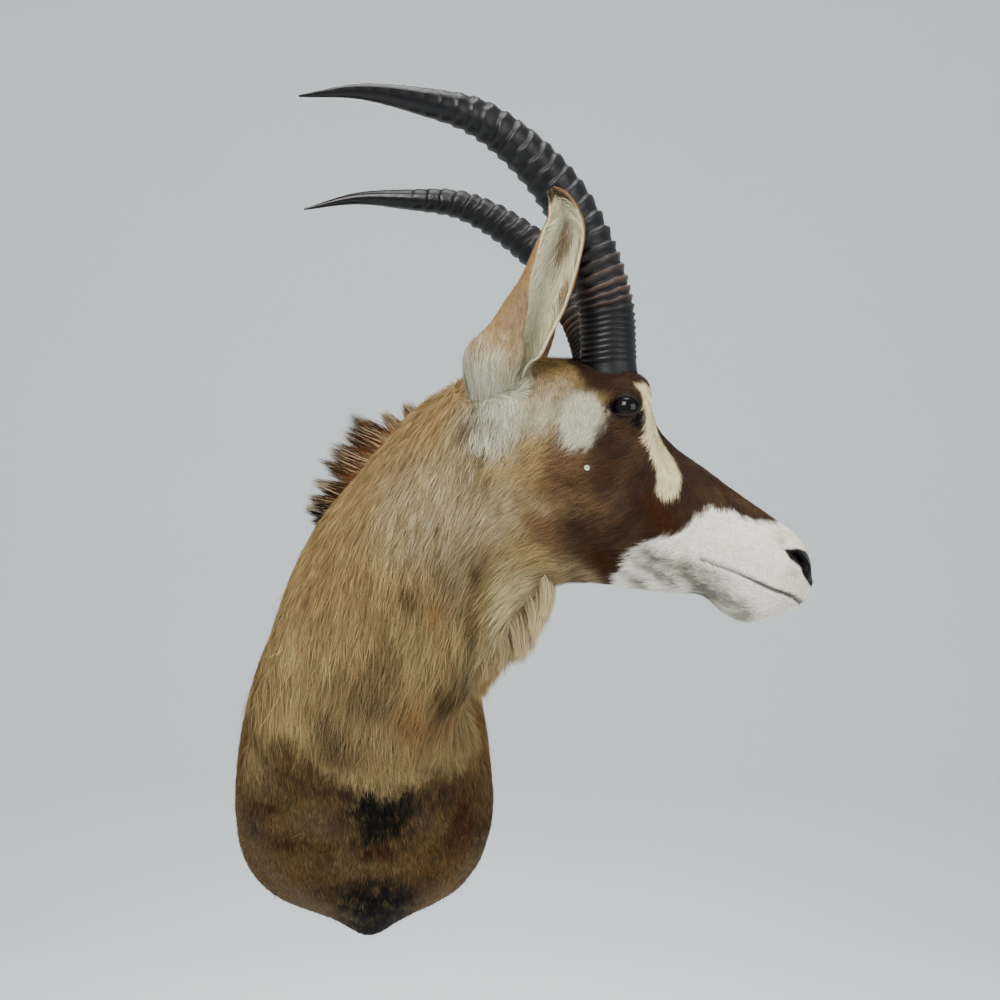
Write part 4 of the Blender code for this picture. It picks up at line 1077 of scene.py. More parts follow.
def vertex_numbers(mesh, name):
    flat = np.empty(len(mesh.vertices), np.float32)
    mesh.attributes[name].data.foreach_get("value", flat)
    return flat.astype(float)


def ribbons(name, spines, facings, widths, colours):
    """Flat tapering hairs as one mesh: spines (hair, point, xyz), facings, widths and colours to match."""
    count, points = spines.shape[:2]
    forward = np.gradient(spines, axis=1)
    across = unit(np.cross(forward, facings)) * widths[..., None] / 2
    left, right = spines[:, :-1] + across[:, :-1], spines[:, :-1] - across[:, :-1]
    corners = np.concatenate([np.stack([left, right], axis=2).reshape(count, -1, 3), spines[:, -1:]], axis=1)
    shades = np.concatenate([np.repeat(colours[:, :-1], 2, axis=1), colours[:, -1:]], axis=1)
    stride = 2 * points - 1
    pattern = []
    for k in range(points - 2):
        a = 2 * k
        pattern += [(a, a + 1, a + 3), (a, a + 3, a + 2)]
    pattern.append((stride - 3, stride - 2, stride - 1))
    faces = (np.arange(count)[:, None, None] * stride + np.array(pattern)[None]).reshape(-1, 3)
    mesh = bpy.data.meshes.new(name)
    mesh.vertices.add(count * stride)
    mesh.vertices.foreach_set("co", corners.reshape(-1).astype(np.float32))
    mesh.loops.add(faces.size)
    mesh.loops.foreach_set("vertex_index", faces.reshape(-1).astype(np.int32))
    mesh.polygons.add(len(faces))
    mesh.polygons.foreach_set("loop_start", np.arange(0, faces.size, 3, dtype=np.int32))
    mesh.update(calc_edges=True)
    mesh.validate()
    write_colours(mesh, "coat", shades.reshape(-1, 3))
    return mesh


def hair_finish(name, roughness=0.62):
    finish = Finish(name, Roughness=roughness, Specular_IOR_Level=0.07)
    finish.set(Base_Color=finish.grained(finish.grain(900.0, 2.0), (0.35, (0.82, 0.82, 0.82)),
                                         (0.65, (1.12, 1.12, 1.12))))
    return finish.material


def vary(colours, rng, amount, dark_share=0.0, dark=0.55, lock=0.0):
    """Gives each hair its own lightness, less so where it is white, and makes a share of them darker."""
    count = len(colours)
    pale = np.clip(1.35 - 1.6 * colours.mean(axis=1), 0.25, 1)
    factor = np.clip(1 + amount * pale * rng.standard_normal(count), 0.4, 1.8) * (1 + lock * pale)
    factor = np.where(rng.random(count) < dark_share * pale ** 2, factor * dark, factor)
    tint = 1 + 0.05 * pale[:, None] * rng.standard_normal((count, 3))
    return colours * factor[:, None] * tint


def gather(root, size):
    """How far each hair's tip is drawn to the middle of its lock, and the lock's own number from 0 to 1."""
    warped = root + size * np.stack([noise(root, 2.5 * size, seed) for seed in (71, 72, 73)], axis=1)
    cell = np.floor(warped / size).astype(np.int64)
    middle = np.stack([scatter(cell, seed) for seed in (74, 75, 76)], axis=1) * 0.6 + 0.2
    return (cell + middle) * size - warped, scatter(cell, 77)


def surface_hairs(name, hide, row, column, rng, tones, width, lock_size, material):
    """Hairs that follow the skin from their roots, each lifting to its tip, and gather into small locks."""
    root = hide.read(hide.points, row, column)
    pull, lock = gather(root, lock_size)
    blurred = root + rng.normal(0, 0.0012, root.shape)
    depth = ramp(np.full(len(root), lock_size), 0.003, 0.009)
    colours = vary(colour_at(hide, row, column, blurred, tones), rng, 0.17 + 0.07 * depth[0],
                   DARK_SHARE, DARK, (lock - 0.5) * (0.20 + 0.36 * depth))
    heading, length, lift = lie_at(root)
    length, lift = chest_lengths(root, length * (0.75 + 0.5 * rng.random(len(row))) * (1 + 0.3 * depth), lift)
    stray = (rng.random(len(row)) < STRAY_SHARE) & (lock_size > 0.005)
    length, lift = np.where(stray, length * 1.5, length), np.where(stray, 0.30, lift)
    drift = np.stack([noise(root, 0.014, s) for s in (21, 22, 23)], axis=1) * 0.22
    heading = unit(heading + drift + rng.normal(0, 0.11, root.shape) * np.where(stray, 3.5, 1.0)[:, None])
    swirl = np.stack([noise(root, 0.006, s) for s in (31, 32, 33)], axis=1) * 0.22
    spine, facing = [root], [hide.read(hide.normals, row, column)]
    lift = lift * (0.35 + 1.3 * rng.random(len(row)) ** 1.5)
    for t in HAIR_STEPS[1:]:
        earlier = HAIR_STEPS[len(spine) - 1]
        step = (heading + swirl * t) * (length * (t - earlier))[:, None]
        row, column = hide.step(row, column, step + pull * (0.6 * (t * t - earlier * earlier)))
        normal = hide.read(hide.normals, row, column)
        height = 0.0005 + length * lift * t ** 1.2
        spine.append(hide.read(hide.points, row, column) + normal * height[:, None])
        facing.append(normal)
    spine, facing = np.stack(spine, axis=1), np.stack(facing, axis=1)
    spine[:, 0] -= facing[:, 0] * 0.0008
    spine[..., 1] = np.minimum(spine[..., 1], -WALL_GAP)
    widths = width * (0.7 + 0.6 * rng.random(len(root)))[:, None] * np.array([1.0, 0.75, 0.0])
    tilt = unit(facing + 0.35 * rng.standard_normal((len(root), 1, 3)))
    # Darker roots are painted shade deep in the coat; lighter tips are partly the hair's own paler tips and
    # partly painted light
    shade = np.array([0.62, 1.0, 1.16])
    mesh = ribbons(name, spine, tilt, widths, colours[:, None, :] * shade[None, :, None])
    return add_piece(name, mesh, material)


def skin_finish():
    finish = Finish("hide", Roughness=0.8, Specular_IOR_Level=0.12)
    streaks = finish.grain(260.0, 4.0, 0.65)
    finish.set(Base_Color=finish.grained(streaks, (0.3, (0.55, 0.52, 0.50)), (0.7, (1.0, 1.0, 1.0))),
               Roughness=finish.between(finish.number("gloss"), 0, 1, 0.85, 0.30))
    finish.bump(streaks, 0.0012, 0.5)
    return finish.material


class MountOperator:
    bl_options = {"REGISTER", "UNDO"}


HIDE = {}


def hide_grid():
    """The skin's grid, worked out once."""
    if "grid" not in HIDE:
        HIDE["grid"] = Hide()
    return HIDE["grid"]


class MOUNT_OT_skin(MountOperator, bpy.types.Operator):
    """Make the bare skin with its markings, the lips, nostrils and folds, and its edge round the board"""

    bl_idname = "mount.skin"
    bl_label = "Skin"

    def execute(self, context):
        hide = hide_grid()
        tones = tones_of(settings("mount_coat"))
        rows = np.arange(len(hide.points))[:, None] + np.zeros((1, SKIN_COLUMNS))
        columns = np.zeros((len(hide.points), 1)) + np.arange(SKIN_COLUMNS)[None]
        mesh = wrapped_mesh("skin", hide.points, {"row": rows, "column": columns})
        points = vertex_points(mesh)
        row, column = vertex_numbers(mesh, "row"), vertex_numbers(mesh, "column")
        colours = colour_at(hide, row, column, points, tones)
        q = to_head(points)
        x, z, y = q[:, 0], q[:, 2], np.abs(q[:, 1])
        write_colours(mesh, "coat", colours * 0.8)
        gloss = mesh.attributes.new("gloss", "FLOAT", "POINT")
        wet = np.maximum(ramp(inside_by(x, z, NOSE_BLACK.outline), -0.001, 0.002),
                         np.where(y > EYE_SIDE, ramp(inside_by(x, z, TEAR_BLACK.outline), -0.001, 0.002), 0))
        gloss.data.foreach_set("value", wet.astype(np.float32))
        add_piece("skin", mesh, skin_finish(), ("cape",))
        self.back_edge(hide)
        return {"FINISHED"}

    def back_edge(self, hide):
        """The turned-in edge of the skin round the board, and the hollow that the board lies in."""
        angles = np.arange(SKIN_COLUMNS) * math.tau / SKIN_COLUMNS
        outer = hide.points[0].copy()
        plain = section(np.zeros(SKIN_COLUMNS), angles)
        centre = (section(np.zeros(1), np.zeros(1)) + section(np.zeros(1), np.full(1, math.pi))) / 2
        inner = centre + (plain - centre) * BOARD_SHARE + unit(plain - centre) * 0.0012
        floor = BOARD_THICKNESS + WALL_GAP
        rings = [outer, outer * 0.35 + inner * 0.65, inner.copy(), inner.copy(),
                 centre + (inner - centre) * 0.5, np.repeat(centre, SKIN_COLUMNS, axis=0)]
        for ring, depth in zip(rings, (WALL_GAP, WALL_GAP, WALL_GAP * 2, floor, floor, floor)):
            ring[:, 1] = -depth
        finish = Finish("raw_hide", Roughness=0.85)
        tones = tones_of(settings("mount_back"))
        grain = finish.grain(140.0, 5.0)
        finish.set(Base_Color=finish.mix(grain, tones["raw_hide"], paint(120, 98, 70)))
        finish.bump(grain, 0.001, 0.6)
        mesh = wrapped_mesh("hide_edge", np.array(rings))
        add_piece("hide_edge", mesh, finish.material)


def bare(points):
    """1 where hair grows, and 0 on the eyes, the nose, the lips and under the horns."""
    q = to_head(points)
    x, z, y = q[:, 0], q[:, 2], np.abs(q[:, 1])
    grows = np.where(y > EYE_SIDE, ramp(eye_oval(q), 1.12, 1.24), 1.0)
    grows *= 1 - ramp(inside_by(x, z, NOSE_BLACK.outline), -0.001, 0.001)
    grows *= np.where(z > THROAT_LEVEL, ramp(line_distance(x, z, MOUTH), 0.0015, 0.0035), 1)
    horn = np.linalg.norm(q * np.array((1, 0, 1)) + np.stack([0 * y, y, 0 * y], axis=1)
                          - np.array(HORN_FOOT), axis=1)
    grows *= ramp(horn, 0.030, 0.036)
    return grows


def head_share(points):
    """1 on the head and 0 on the neck."""
    q = to_head(points)
    return ((q[:, 0] + 0.35 * (q[:, 2] + 0.10) > -0.115) & (q[:, 2] > -0.26)).astype(float)


class MOUNT_OT_coat(MountOperator, bpy.types.Operator):
    """Grow the coat's hair on the head, the neck, the chest and the brisket"""

    bl_idname = "mount.coat"
    bl_label = "Coat hair"

    def execute(self, context):
        coat = settings("mount_coat")
        tones, hide = tones_of(coat), hide_grid()
        material = hair_finish("coat_hair")
        on_head = head_share(hide.points[:-1].reshape(-1, 3)) > 0.5
        on_right = np.tile(np.arange(SKIN_COLUMNS) < SKIN_COLUMNS / 2, hide.rows)
        points = hide.points[:-1].reshape(-1, 3)
        on_chest = (points[:, 2] < 0.16) & (points[:, 1] < -0.13) & ~on_head
        hairy = bare(points)
        for seed, (name, count, where, width, lock) in enumerate((
                ("hair_head_right", coat.face_hairs, on_head & on_right, 0.60, 0.0035),
                ("hair_head_left", coat.face_hairs * 0.75, on_head & ~on_right, 0.70, 0.0035),
                ("hair_neck_right", coat.neck_hairs, ~on_head & on_right & ~on_chest, 0.85, 0.008),
                ("hair_neck_left", coat.neck_hairs * 0.75, ~on_head & ~on_right & ~on_chest, 1.0, 0.008),
                ("hair_chest", coat.neck_hairs, on_chest, 0.9, 0.008))):
            rng = np.random.default_rng(100 + seed)
            row, column = hide.sow(int(count), rng, where * hairy)
            keep = bare(hide.read(hide.points, row, column)) > 0.5
            surface_hairs(name, hide, row[keep], column[keep], rng, tones, coat.hair_width * width, lock,
                          material)
        self.scar(tones, material)
        return {"FINISHED"}

    def scar(self, tones, material):
        """A small pale whorl of hair below the white patch of the right cheek."""
        rng, count = np.random.default_rng(110), SCAR_HAIRS
        turn = rng.random(count) * math.tau
        out = np.stack([np.cos(turn), 0 * turn, np.sin(turn)], axis=1)
        middle = np.array(SCAR)
        root = middle + out * 0.0012 * rng.random((count, 1)) + np.array([0, 0.001, 0])
        tip = middle + out * (0.0014 + 0.0026 * rng.random((count, 1)) ** 0.7) + np.array([0, -0.0010, 0])
        sag = np.tile(np.array([0, -0.0010, 0]), (count, 1))
        spine = guided_hairs(from_head(root), from_head(tip), sag, 2)
        widths = np.full((count, 1), 0.0008) * np.array(SHORT_TAPER)
        facing = np.tile(np.array([0.0, -1.0, 0.0]), (count, 3, 1))
        colours = vary(np.tile(np.array(tones["burr"]), (count, 1)), rng, 0.5)
        mesh = ribbons("cheek_whorl", spine, facing, widths, np.repeat(colours[:, None], 3, axis=1))
        add_piece("cheek_whorl", mesh, material)


def chest_lengths(root, length, lift):
    """Long hair above the ragged line of the chest, which it reaches and overhangs."""
    line = np.array(CHEST_LINE)
    edge = np.interp(root[:, 0], line[:, 0], line[:, 1])
    reach = root[:, 2] - edge + 0.010 * noise(root, 0.016, 41)
    front = (root[:, 1] < -0.14) & (root[:, 0] > -0.135) & (root[:, 0] < 0.165)
    long_hair = front & (reach > 0.004) & (reach < 0.095)
    length = np.where(long_hair, np.clip(reach, 0.026, 0.070), length)
    lift = np.where(long_hair, 0.20, lift)
    short_of = front & (reach <= 0.004)
    return np.where(short_of, np.minimum(length, 0.016), length), lift


class Ear:
    """One ear's surface, read at shares of its width (0 to 1) and levels from its root to its tip."""

    def __init__(self, side):
        self.side = side
        self.rows = np.array([[*row.middle, row.radius, math.radians(row.facing), math.radians(row.opening)]
                              for row in EAR])
        self.last = len(EAR) - 1

    def points(self, share, level, out=0.0):
        values = spline(self.rows, level)
        middle, radius, facing, opening = values[:, :3], values[:, 3:4], values[:, 4:5], values[:, 5:6]
        sunk = ramp(level, 1.6, 0.0)[:, None]
        bulge = np.exp(-((level - 1.5) / 0.8) ** 2)[:, None]
        middle = middle + sunk * np.array([0.002, 0.030, 0.0]) - bulge * np.array([0.011, 0.0, 0.0])
        radius = radius * (1 - 0.32 * sunk)
        angle = facing + math.pi + (share[:, None] - 0.5) * 2 * (math.pi - opening)
        upward = unit(spline(self.rows, np.minimum(level + 0.1, self.last))[:, :3]
                      - spline(self.rows, np.maximum(level - 0.1, 0))[:, :3])
        ahead = np.array([1.0, 0, 0]) - upward * upward[:, :1]
        outward = np.cross(ahead, upward) * EAR_DEPTH
        ripple = 1 + 0.02 * np.sin(share * 25 + level * 3)[:, None]
        rolled = ahead * np.cos(angle) + outward * np.sin(angle)
        rolled = rolled / np.linalg.norm(ahead, axis=1, keepdims=True)
        point = middle + rolled * radius * ripple + unit(rolled) * out
        point[:, 1] *= -self.side
        return from_head(point)

    def frame(self, share, level):
        """Outward normals and upward directions."""
        up = unit(self.points(share, np.minimum(level + 0.05, self.last))
                  - self.points(share, np.maximum(level - 0.05, 0)))
        out = unit(self.points(share, level, 0.001) - self.points(share, level))
        return unit(out - up * dot(out, up)), up


def ear_colour(share, level, outer, tones, coat):
    """Colours of an ear's back or lining; share 0 is its rear edge and 1 its front edge on the right ear."""
    points = np.stack([share * 0.10, level * 0.03, np.zeros_like(share)], axis=1)
    fray = noise(points, 0.006, 51) * 0.5 + noise(points, 0.0025, 52) * 0.3

    def spot(across, along_ear, wide, tall):
        return np.exp(-((share - across) / wide) ** 2 - ((level - along_ear) / tall) ** 2) * (1 + fray)

    if outer:
        colour = all_of(tones["back"], share)
        # Painted shade beside the crease of the rim, near the ear's rear edge
        colour = over(colour, coat["taupe"], np.clip(spot(0.02, 3.4, 0.16, 1.3), 0, 1) * 0.8)
        colour = over(colour, coat["neck_grey"], ramp(level + 1.2 * fray, 3.0, 1.6) * 0.75)
        colour = over(colour, coat["burr"], ramp(level + 1.5 * fray, 1.9, 0.6) * 0.85)
        return over(colour, tones["rim"], ramp(level + 1.2 * fray, 8.6, 9.3) * 0.9)
    colour = all_of(tones["inner_hair"], share)
    colour = over(colour, tones["lining"], np.clip(0.35 + fray, 0, 1) * 0.6)
    # Painted shade down the hollow middle of the lining
    colour = over(colour, tones["shade"], np.clip(1.3 * spot(0.58, 6.5, 0.12, 0.9), 0, 1) * 0.9)
    colour = over(colour, tones["spot"], np.clip(1.8 * spot(0.86, 4.7, 0.09, 0.42), 0, 1))
    return over(colour, tones["rim"], ramp(level + 0.9 * fray + 0.6 * share, 8.6, 9.2) * 0.9)


class MOUNT_OT_ears(MountOperator, bpy.types.Operator):
    """Make the two ears with their short-haired backs and long-haired linings"""

    bl_idname = "mount.ears"
    bl_label = "Ears"

    def execute(self, context):
        group = settings("mount_ear")
        tones, coat = tones_of(group), tones_of(settings("mount_coat"))
        skin = Finish("ear_skin", Roughness=0.75)
        grain = skin.grain(300.0, 4.0)
        skin.set(Base_Color=skin.grained(grain, (0.3, (0.7, 0.68, 0.66)), (0.7, (1, 1, 1))))
        skin.bump(grain, 0.0006, 0.5)
        hair = hair_finish("ear_hair")
        for name, side in (("right", -1), ("left", 1)):
            ear = Ear(side)
            self.leaf(name, ear, tones, coat, skin.material)
            self.hair(name, ear, group, tones, coat, hair)
        return {"FINISHED"}

    def leaf(self, name, ear, tones, coat, material):
        """A shell with an outer and an inner wall that meet at the rim."""
        around = np.hstack([np.linspace(0, 1, EAR_COLUMNS + 1), np.linspace(1, 0, EAR_COLUMNS + 1)])
        outs = np.hstack([np.full(EAR_COLUMNS + 1, 0.5), np.full(EAR_COLUMNS + 1, -0.5)]) * EAR_THICKNESS
        levels = np.linspace(0, ear.last, EAR_LEVELS + 1)
        level, share = np.meshgrid(levels, around, indexing="ij")
        out = np.broadcast_to(outs, level.shape) * np.clip((ear.last - level) / 0.6, 0.05, 1)
        points = ear.points(share.ravel(), level.ravel(), out.ravel()[:, None]).reshape(*level.shape, 3)
        back, lining = (ear_colour(share.ravel(), level.ravel(), outer, tones, coat).reshape(*level.shape, 3)
                        for outer in (True, False))
        colours = np.where((outs > 0)[None, :, None], back, lining * 0.9)
        keys = dict(zip(("red", "green", "blue"), np.moveaxis(colours, 2, 0)))
        mesh = wrapped_mesh(f"ear_{name}", points, keys)
        write_colours(mesh, "coat", np.stack([vertex_numbers(mesh, key) for key in keys], axis=1))
        add_piece(f"ear_{name}", mesh, material)

    def hair(self, name, ear, group, tones, coat, material):
        rng = np.random.default_rng(200 + ear.side)
        count = group.hairs
        outer = rng.random(count) < 0.48
        level = 0.2 + 9.7 * rng.random(count) ** 1.1
        share = rng.random(count)
        edge = rng.random(count) < 0.45
        share = np.where(~outer & edge, np.where(rng.random(count) < 0.6, 0.04, 0.96)
                         + rng.normal(0, 0.03, count), share)
        share = np.clip(share, 0.005, 0.995)
        length = np.where(outer, 0.009 + 0.012 * ramp(level, 2.6, 0.8), np.where(edge, 0.024, 0.016)) \
            * (0.6 + 0.8 * rng.random(count))
        length *= np.where(level > 8.5, 0.7, 1.0)
        lift = np.where(outer, 0.10 + 0.14 * ramp(level, 2.4, 0.8), np.where(edge, 0.35, 0.25))
        lift *= 0.5 + rng.random(count)
        inward = np.where(outer, 0.0, np.where(edge, 0.55, 0.15) * np.sign(0.5 - share)) \
            + 0.25 * rng.standard_normal(count)
        spine, facing = [], []
        width_at = np.maximum(spline(ear.rows, level)[:, 3] * 4.5, 0.01)
        for t in HAIR_STEPS:
            lev = np.clip(level + t * length / 0.028 * 0.95, 0, ear.last - 0.01)
            sh = np.clip(share + inward * t * length / width_at, 0.0, 1.0)
            normal, up = ear.frame(sh, lev)
            normal = np.where(outer[:, None], normal, -normal)
            wall = EAR_THICKNESS / 2 * np.clip((ear.last - lev) / 0.6, 0.05, 1)
            height = wall - 0.0004 + lift * length * t ** 1.3
            spine.append(ear.points(sh, lev) + normal * height[:, None])
            facing.append(normal)
        spine, facing = np.stack(spine, axis=1), np.stack(facing, axis=1)
        colours = np.where(outer[:, None], ear_colour(share, level, True, tones, coat),
                           ear_colour(share, level, False, tones, coat))
        colours = vary(colours, rng, 0.16, 0.08)
        widths = 0.0008 * (0.6 + 0.6 * rng.random(count))[:, None] * np.array(SHORT_TAPER)
        facing = unit(facing + 0.3 * rng.standard_normal((count, 1, 3)))
        # Painted shade at the roots and painted light at the tips
        shade = np.array([0.80, 1.0, 1.06])
        mesh = ribbons(f"ear_hair_{name}", spine, facing, widths, colours[:, None] * shade[None, :, None])
        add_piece(f"ear_hair_{name}", mesh, material)


def guided_hairs(roots, tips, sag, segments):
    """Hairs from roots to tips that bow sideways by sag."""
    t = np.linspace(0, 1, segments + 1)[None, :, None]
    bow = 4 * t * (1 - t)
    return roots[:, None] * (1 - t) + tips[:, None] * t + sag[:, None] * bow


class MOUNT_OT_mane_and_beard(MountOperator, bpy.types.Operator):
    """Make the upright mane along the nape and the beard under the throat"""

    bl_idname = "mount.mane_and_beard"
    bl_label = "Mane and beard"

    def execute(self, context):
        group = settings("mount_mane")
        tones = tones_of(group)
        material = hair_finish("mane_hair", 0.5)
        self.mane(group, tones, material)
        self.beard(group, tones, material)
        return {"FINISHED"}

    def mane(self, group, tones, material):
        rng = np.random.default_rng(301)
        count, tufts = group.mane_hairs, MANE_TUFTS
        tuft = rng.integers(0, tufts, count)
        middle_of = (np.arange(tufts) + 0.5 + rng.normal(0, 0.28, tufts)) / tufts
        place = np.clip(middle_of[tuft] + rng.normal(0, 0.020, count), 0, 1)
        wisp = rng.random(count) < 0.16
        root = along(MANE_ROOTS, place) + rng.normal(0, 0.0035, (count, 3)) + np.array([0.004, 0, -0.008])
        lean = rng.normal(0, 1, (tufts, 3)) * np.array([0.005, 0.007, 0.005])
        tall = (0.80 + 0.27 * rng.random(tufts))[tuft]
        tip_place = np.clip(0.60 * middle_of[tuft] + 0.40 * place + rng.normal(0, 0.006, count), 0, 1)
        tip = along(MANE_TIPS, tip_place) + lean[tuft] + rng.normal(0, 0.0032, (count, 3))
        reach = np.where(wisp, 0.85 + 0.2 * rng.random(count),
                         tall * (0.66 + 0.40 * rng.random(count) ** 0.7))
        tip = root + (tip - root) * reach[:, None]
        sag = rng.normal(0, 0.0022, (count, 3)) + np.array([0.0015, 0, -0.001])
        spine = guided_hairs(root, tip, sag, 4)
        dark_tuft = place + 0.03 * rng.standard_normal(count) > 0.84
        t = np.linspace(0, 1, 5)[None, :, None]
        middle = np.where(dark_tuft[:, None], np.array(tones["tip"]) * 1.6, np.array(tones["middle"]))
        low, high = t / 0.45, (t - 0.45) / 0.55
        colours = np.where(t < 0.45, np.array(tones["root"]) * (1 - low) + middle[:, None] * low,
                           middle[:, None] * (1 - high) + np.array(tones["tip"]) * high)
        colours = np.where(wisp[:, None, None], np.array(tones["wisp"]), colours)
        golden = (rng.random((count, 1, 1)) < 0.30) & (t < 0.7) & ~dark_tuft[:, None, None]
        colours = np.where(golden, colours * np.array([1.5, 1.3, 1.1]), colours)
        colours = colours * np.clip(1 + 0.3 * rng.standard_normal((count, 1, 1)), 0.35, 1.9)
        facing = unit(rng.standard_normal((count, 1, 3)) + np.array([0, -1.2, 0])) + np.zeros((1, 5, 1))
        widths = 0.0009 * (0.5 + 0.6 * rng.random(count))[:, None] * np.array(LONG_TAPER)
        widths = widths * np.where(wisp, 0.5, 1.0)[:, None]
        add_piece("mane", ribbons("mane", spine, facing, widths, colours), material)

    def beard(self, group, tones, material):
        rng = np.random.default_rng(302)
        count, locks = group.beard_hairs, BEARD_LOCKS
        lock = rng.integers(0, locks, count)
        lock_place, lock_side = rng.random(locks), rng.normal(0, 0.013, locks)
        place = np.clip(lock_place[lock] + rng.normal(0, 0.03, count), 0, 1)
        across = np.array(THROAT_ACROSS) * (lock_side[lock] + rng.normal(0, 0.004, count))[:, None]
        root = along(THROAT_ROOTS, place) + across + np.array([-0.004, 0, 0.008])
        tip = along(THROAT_TIPS, np.clip(lock_place[lock] + rng.normal(0, 0.02, count), 0, 1)) + across * 0.6
        reach = 0.60 + 0.42 * rng.random(locks)[lock] * (0.6 + 0.4 * rng.random(count))
        tip = root + (tip - root) * reach[:, None] + rng.normal(0, 0.0028, (count, 3))
        sag = rng.normal(0, 0.0018, (count, 3)) + np.array([0.004, -0.002, 0.0])
        spine = guided_hairs(root, tip, sag, 4)
        straw = np.clip(place * 1.3 - 0.25 + rng.normal(0, 0.15, count), 0, 1)
        colours = vary(over(all_of(tones["beard"], place), tones["beard_low"], straw), rng, 0.16, 0.14)
        facing = unit(rng.standard_normal((count, 1, 3)) + np.array([0.3, -1.2, 0])) + np.zeros((1, 5, 1))
        widths = 0.0007 * (0.5 + 0.6 * rng.random(count))[:, None] * np.array(LONG_TAPER)
        # Painted shade at the roots and painted light at the tips
        shade = np.array([0.75, 0.92, 1.0, 1.04, 1.06])
        mesh = ribbons("beard", spine, facing, widths, colours[:, None] * shade[None, :, None])
        add_piece("beard", mesh, material)


def horn_rings_at(arc):
    """How many ridges lie between the skin and a share of the horn: close at its base, wider beyond."""
    return np.interp(arc, RING_KNOTS, RINGS_BELOW) / RINGS_BELOW[-2]


class MOUNT_OT_horns(MountOperator, bpy.types.Operator):
    """Make the two ringed horns with their polished tips"""

    bl_idname = "mount.horns"
    bl_label = "Horns"

    def execute(self, context):
        group = settings("mount_horn")
        material = self.finish(tones_of(group))
        for name, side in (("right", -1), ("left", 1)):
            self.horn(name, side, group, material)
        return {"FINISHED"}

    def horn(self, name, side, group, material):
        line = np.array([[*point, radius] for point, radius in HORN_LINE])
        line[:, 1] = np.abs(line[:, 1]) * side
        line[:, 3] *= LEFT_HORN_SHARE if side > 0 else 1
        start = line[:1].copy()
        start[0, :3] += np.array(HORN_ROOT)
        levels, around = HORN_LEVELS, HORN_COLUMNS
        arc = np.linspace(0, 1, levels + 1)
        centre = along(line, arc)
        ahead = unit(np.gradient(centre[:, :3], axis=0))
        outward = unit(np.array([0.0, side, 0.0]) - ahead * dot(ahead, np.array([0.0, side, 0.0])))
        up = np.cross(ahead, outward)
        angle = np.arange(around) * math.tau / around
        a, t = angle[None, :], arc[:, None]
        grid = np.stack(np.broadcast_arrays(t * 8, np.cos(a) * 0.6, np.sin(a) * 0.6), axis=2).reshape(-1, 3)
        wander = noise(grid, 0.35, 61 + side).reshape(levels + 1, around)
        phase = horn_rings_at(t - 0.0035 * np.sin(a) - 0.003 * np.cos(a)) * group.rings + 0.22 * wander
        wave = phase - np.floor(phase)
        crest = np.where(wave < 0.70, ramp(wave, -0.15, 0.70), ramp(wave, 1.02, 0.70)) ** 1.4
        grown = ramp(t, 0.02, 0.16) * ramp(t, RIDGED_SHARE + 0.03, RIDGED_SHARE - 0.20)
        height = group.ridge * (0.34 * ramp(t, RIDGED_SHARE, 0.05) + 0.66 * grown)
        height = height * ramp(t, RIDGED_SHARE + 0.02, RIDGED_SHARE - 0.04)
        relief_height = height * (crest - 0.45) * (1 + 0.35 * wander)
        fibre = 0.00022 * np.sin(a * 23 + 3 * wander) * ramp(t, 1.0, 0.7)
        radius = centre[:, 3:4] + relief_height + fibre
        points = (centre[:, None, :3] + (outward[:, None] * np.cos(a)[..., None]
                                         + up[:, None] * np.sin(a)[..., None]) * radius[..., None])
        root = points[:1] + np.array(HORN_ROOT)
        tip = centre[-1:, :3] + ahead[-1:] * 0.0012
        points = np.concatenate([root, points, np.repeat(tip[:, None], around, axis=1)])
        keys = {"arc": np.vstack([t[:1], t, t[-1:]]) + np.zeros((1, around)),
                "crest": np.vstack([crest[:1], crest, crest[-1:]])}
        keys["strength"] = np.vstack([height[:1], height, height[-1:]]) / group.ridge + np.zeros((1, around))
        world = from_head(points.reshape(-1, 3)).reshape(points.shape)
        mesh = wrapped_mesh(f"horn_piece_{name}", world, keys)
        add_piece(f"horn_piece_{name}", mesh, material, (f"horn_{name}",))

    def finish(self, tones):
        finish = Finish("horn_sheath", Specular_IOR_Level=0.26)
        arc, crest, strength = (finish.number(key) for key in ("arc", "crest", "strength"))
        wear_and_highlight_grain = finish.grain(60.0, 4.0)
        fine = finish.grain(420.0, 3.0)
        # Lighter crests are partly wear and partly painted highlight on the ridge tops
        colour = finish.mix(crest ** 3.0 * (0.35 + 0.5 * wear_and_highlight_grain) * strength, tones["valley"], tones["crest"])
        worn = finish.between(arc, 0.11, 0.14) * finish.between(arc, 0.24, 0.18) * crest ** 1.5 * wear_and_highlight_grain
        colour = finish.mix(worn * 1.1, colour, tones["worn"])
        colour = finish.mix(finish.between(arc, 0.70, 0.84), colour, tones["tip"])
        finish.set(Base_Color=colour)
        rough = finish.between(arc, 0.62, 0.86, 0.40, 0.20) + 0.12 * fine - 0.12 * crest
        finish.set(Roughness=rough)
        finish.bump(fine * finish.between(arc, 0.9, 0.6, 0.15, 1.0), 0.0006, 0.6)
        return finish.material


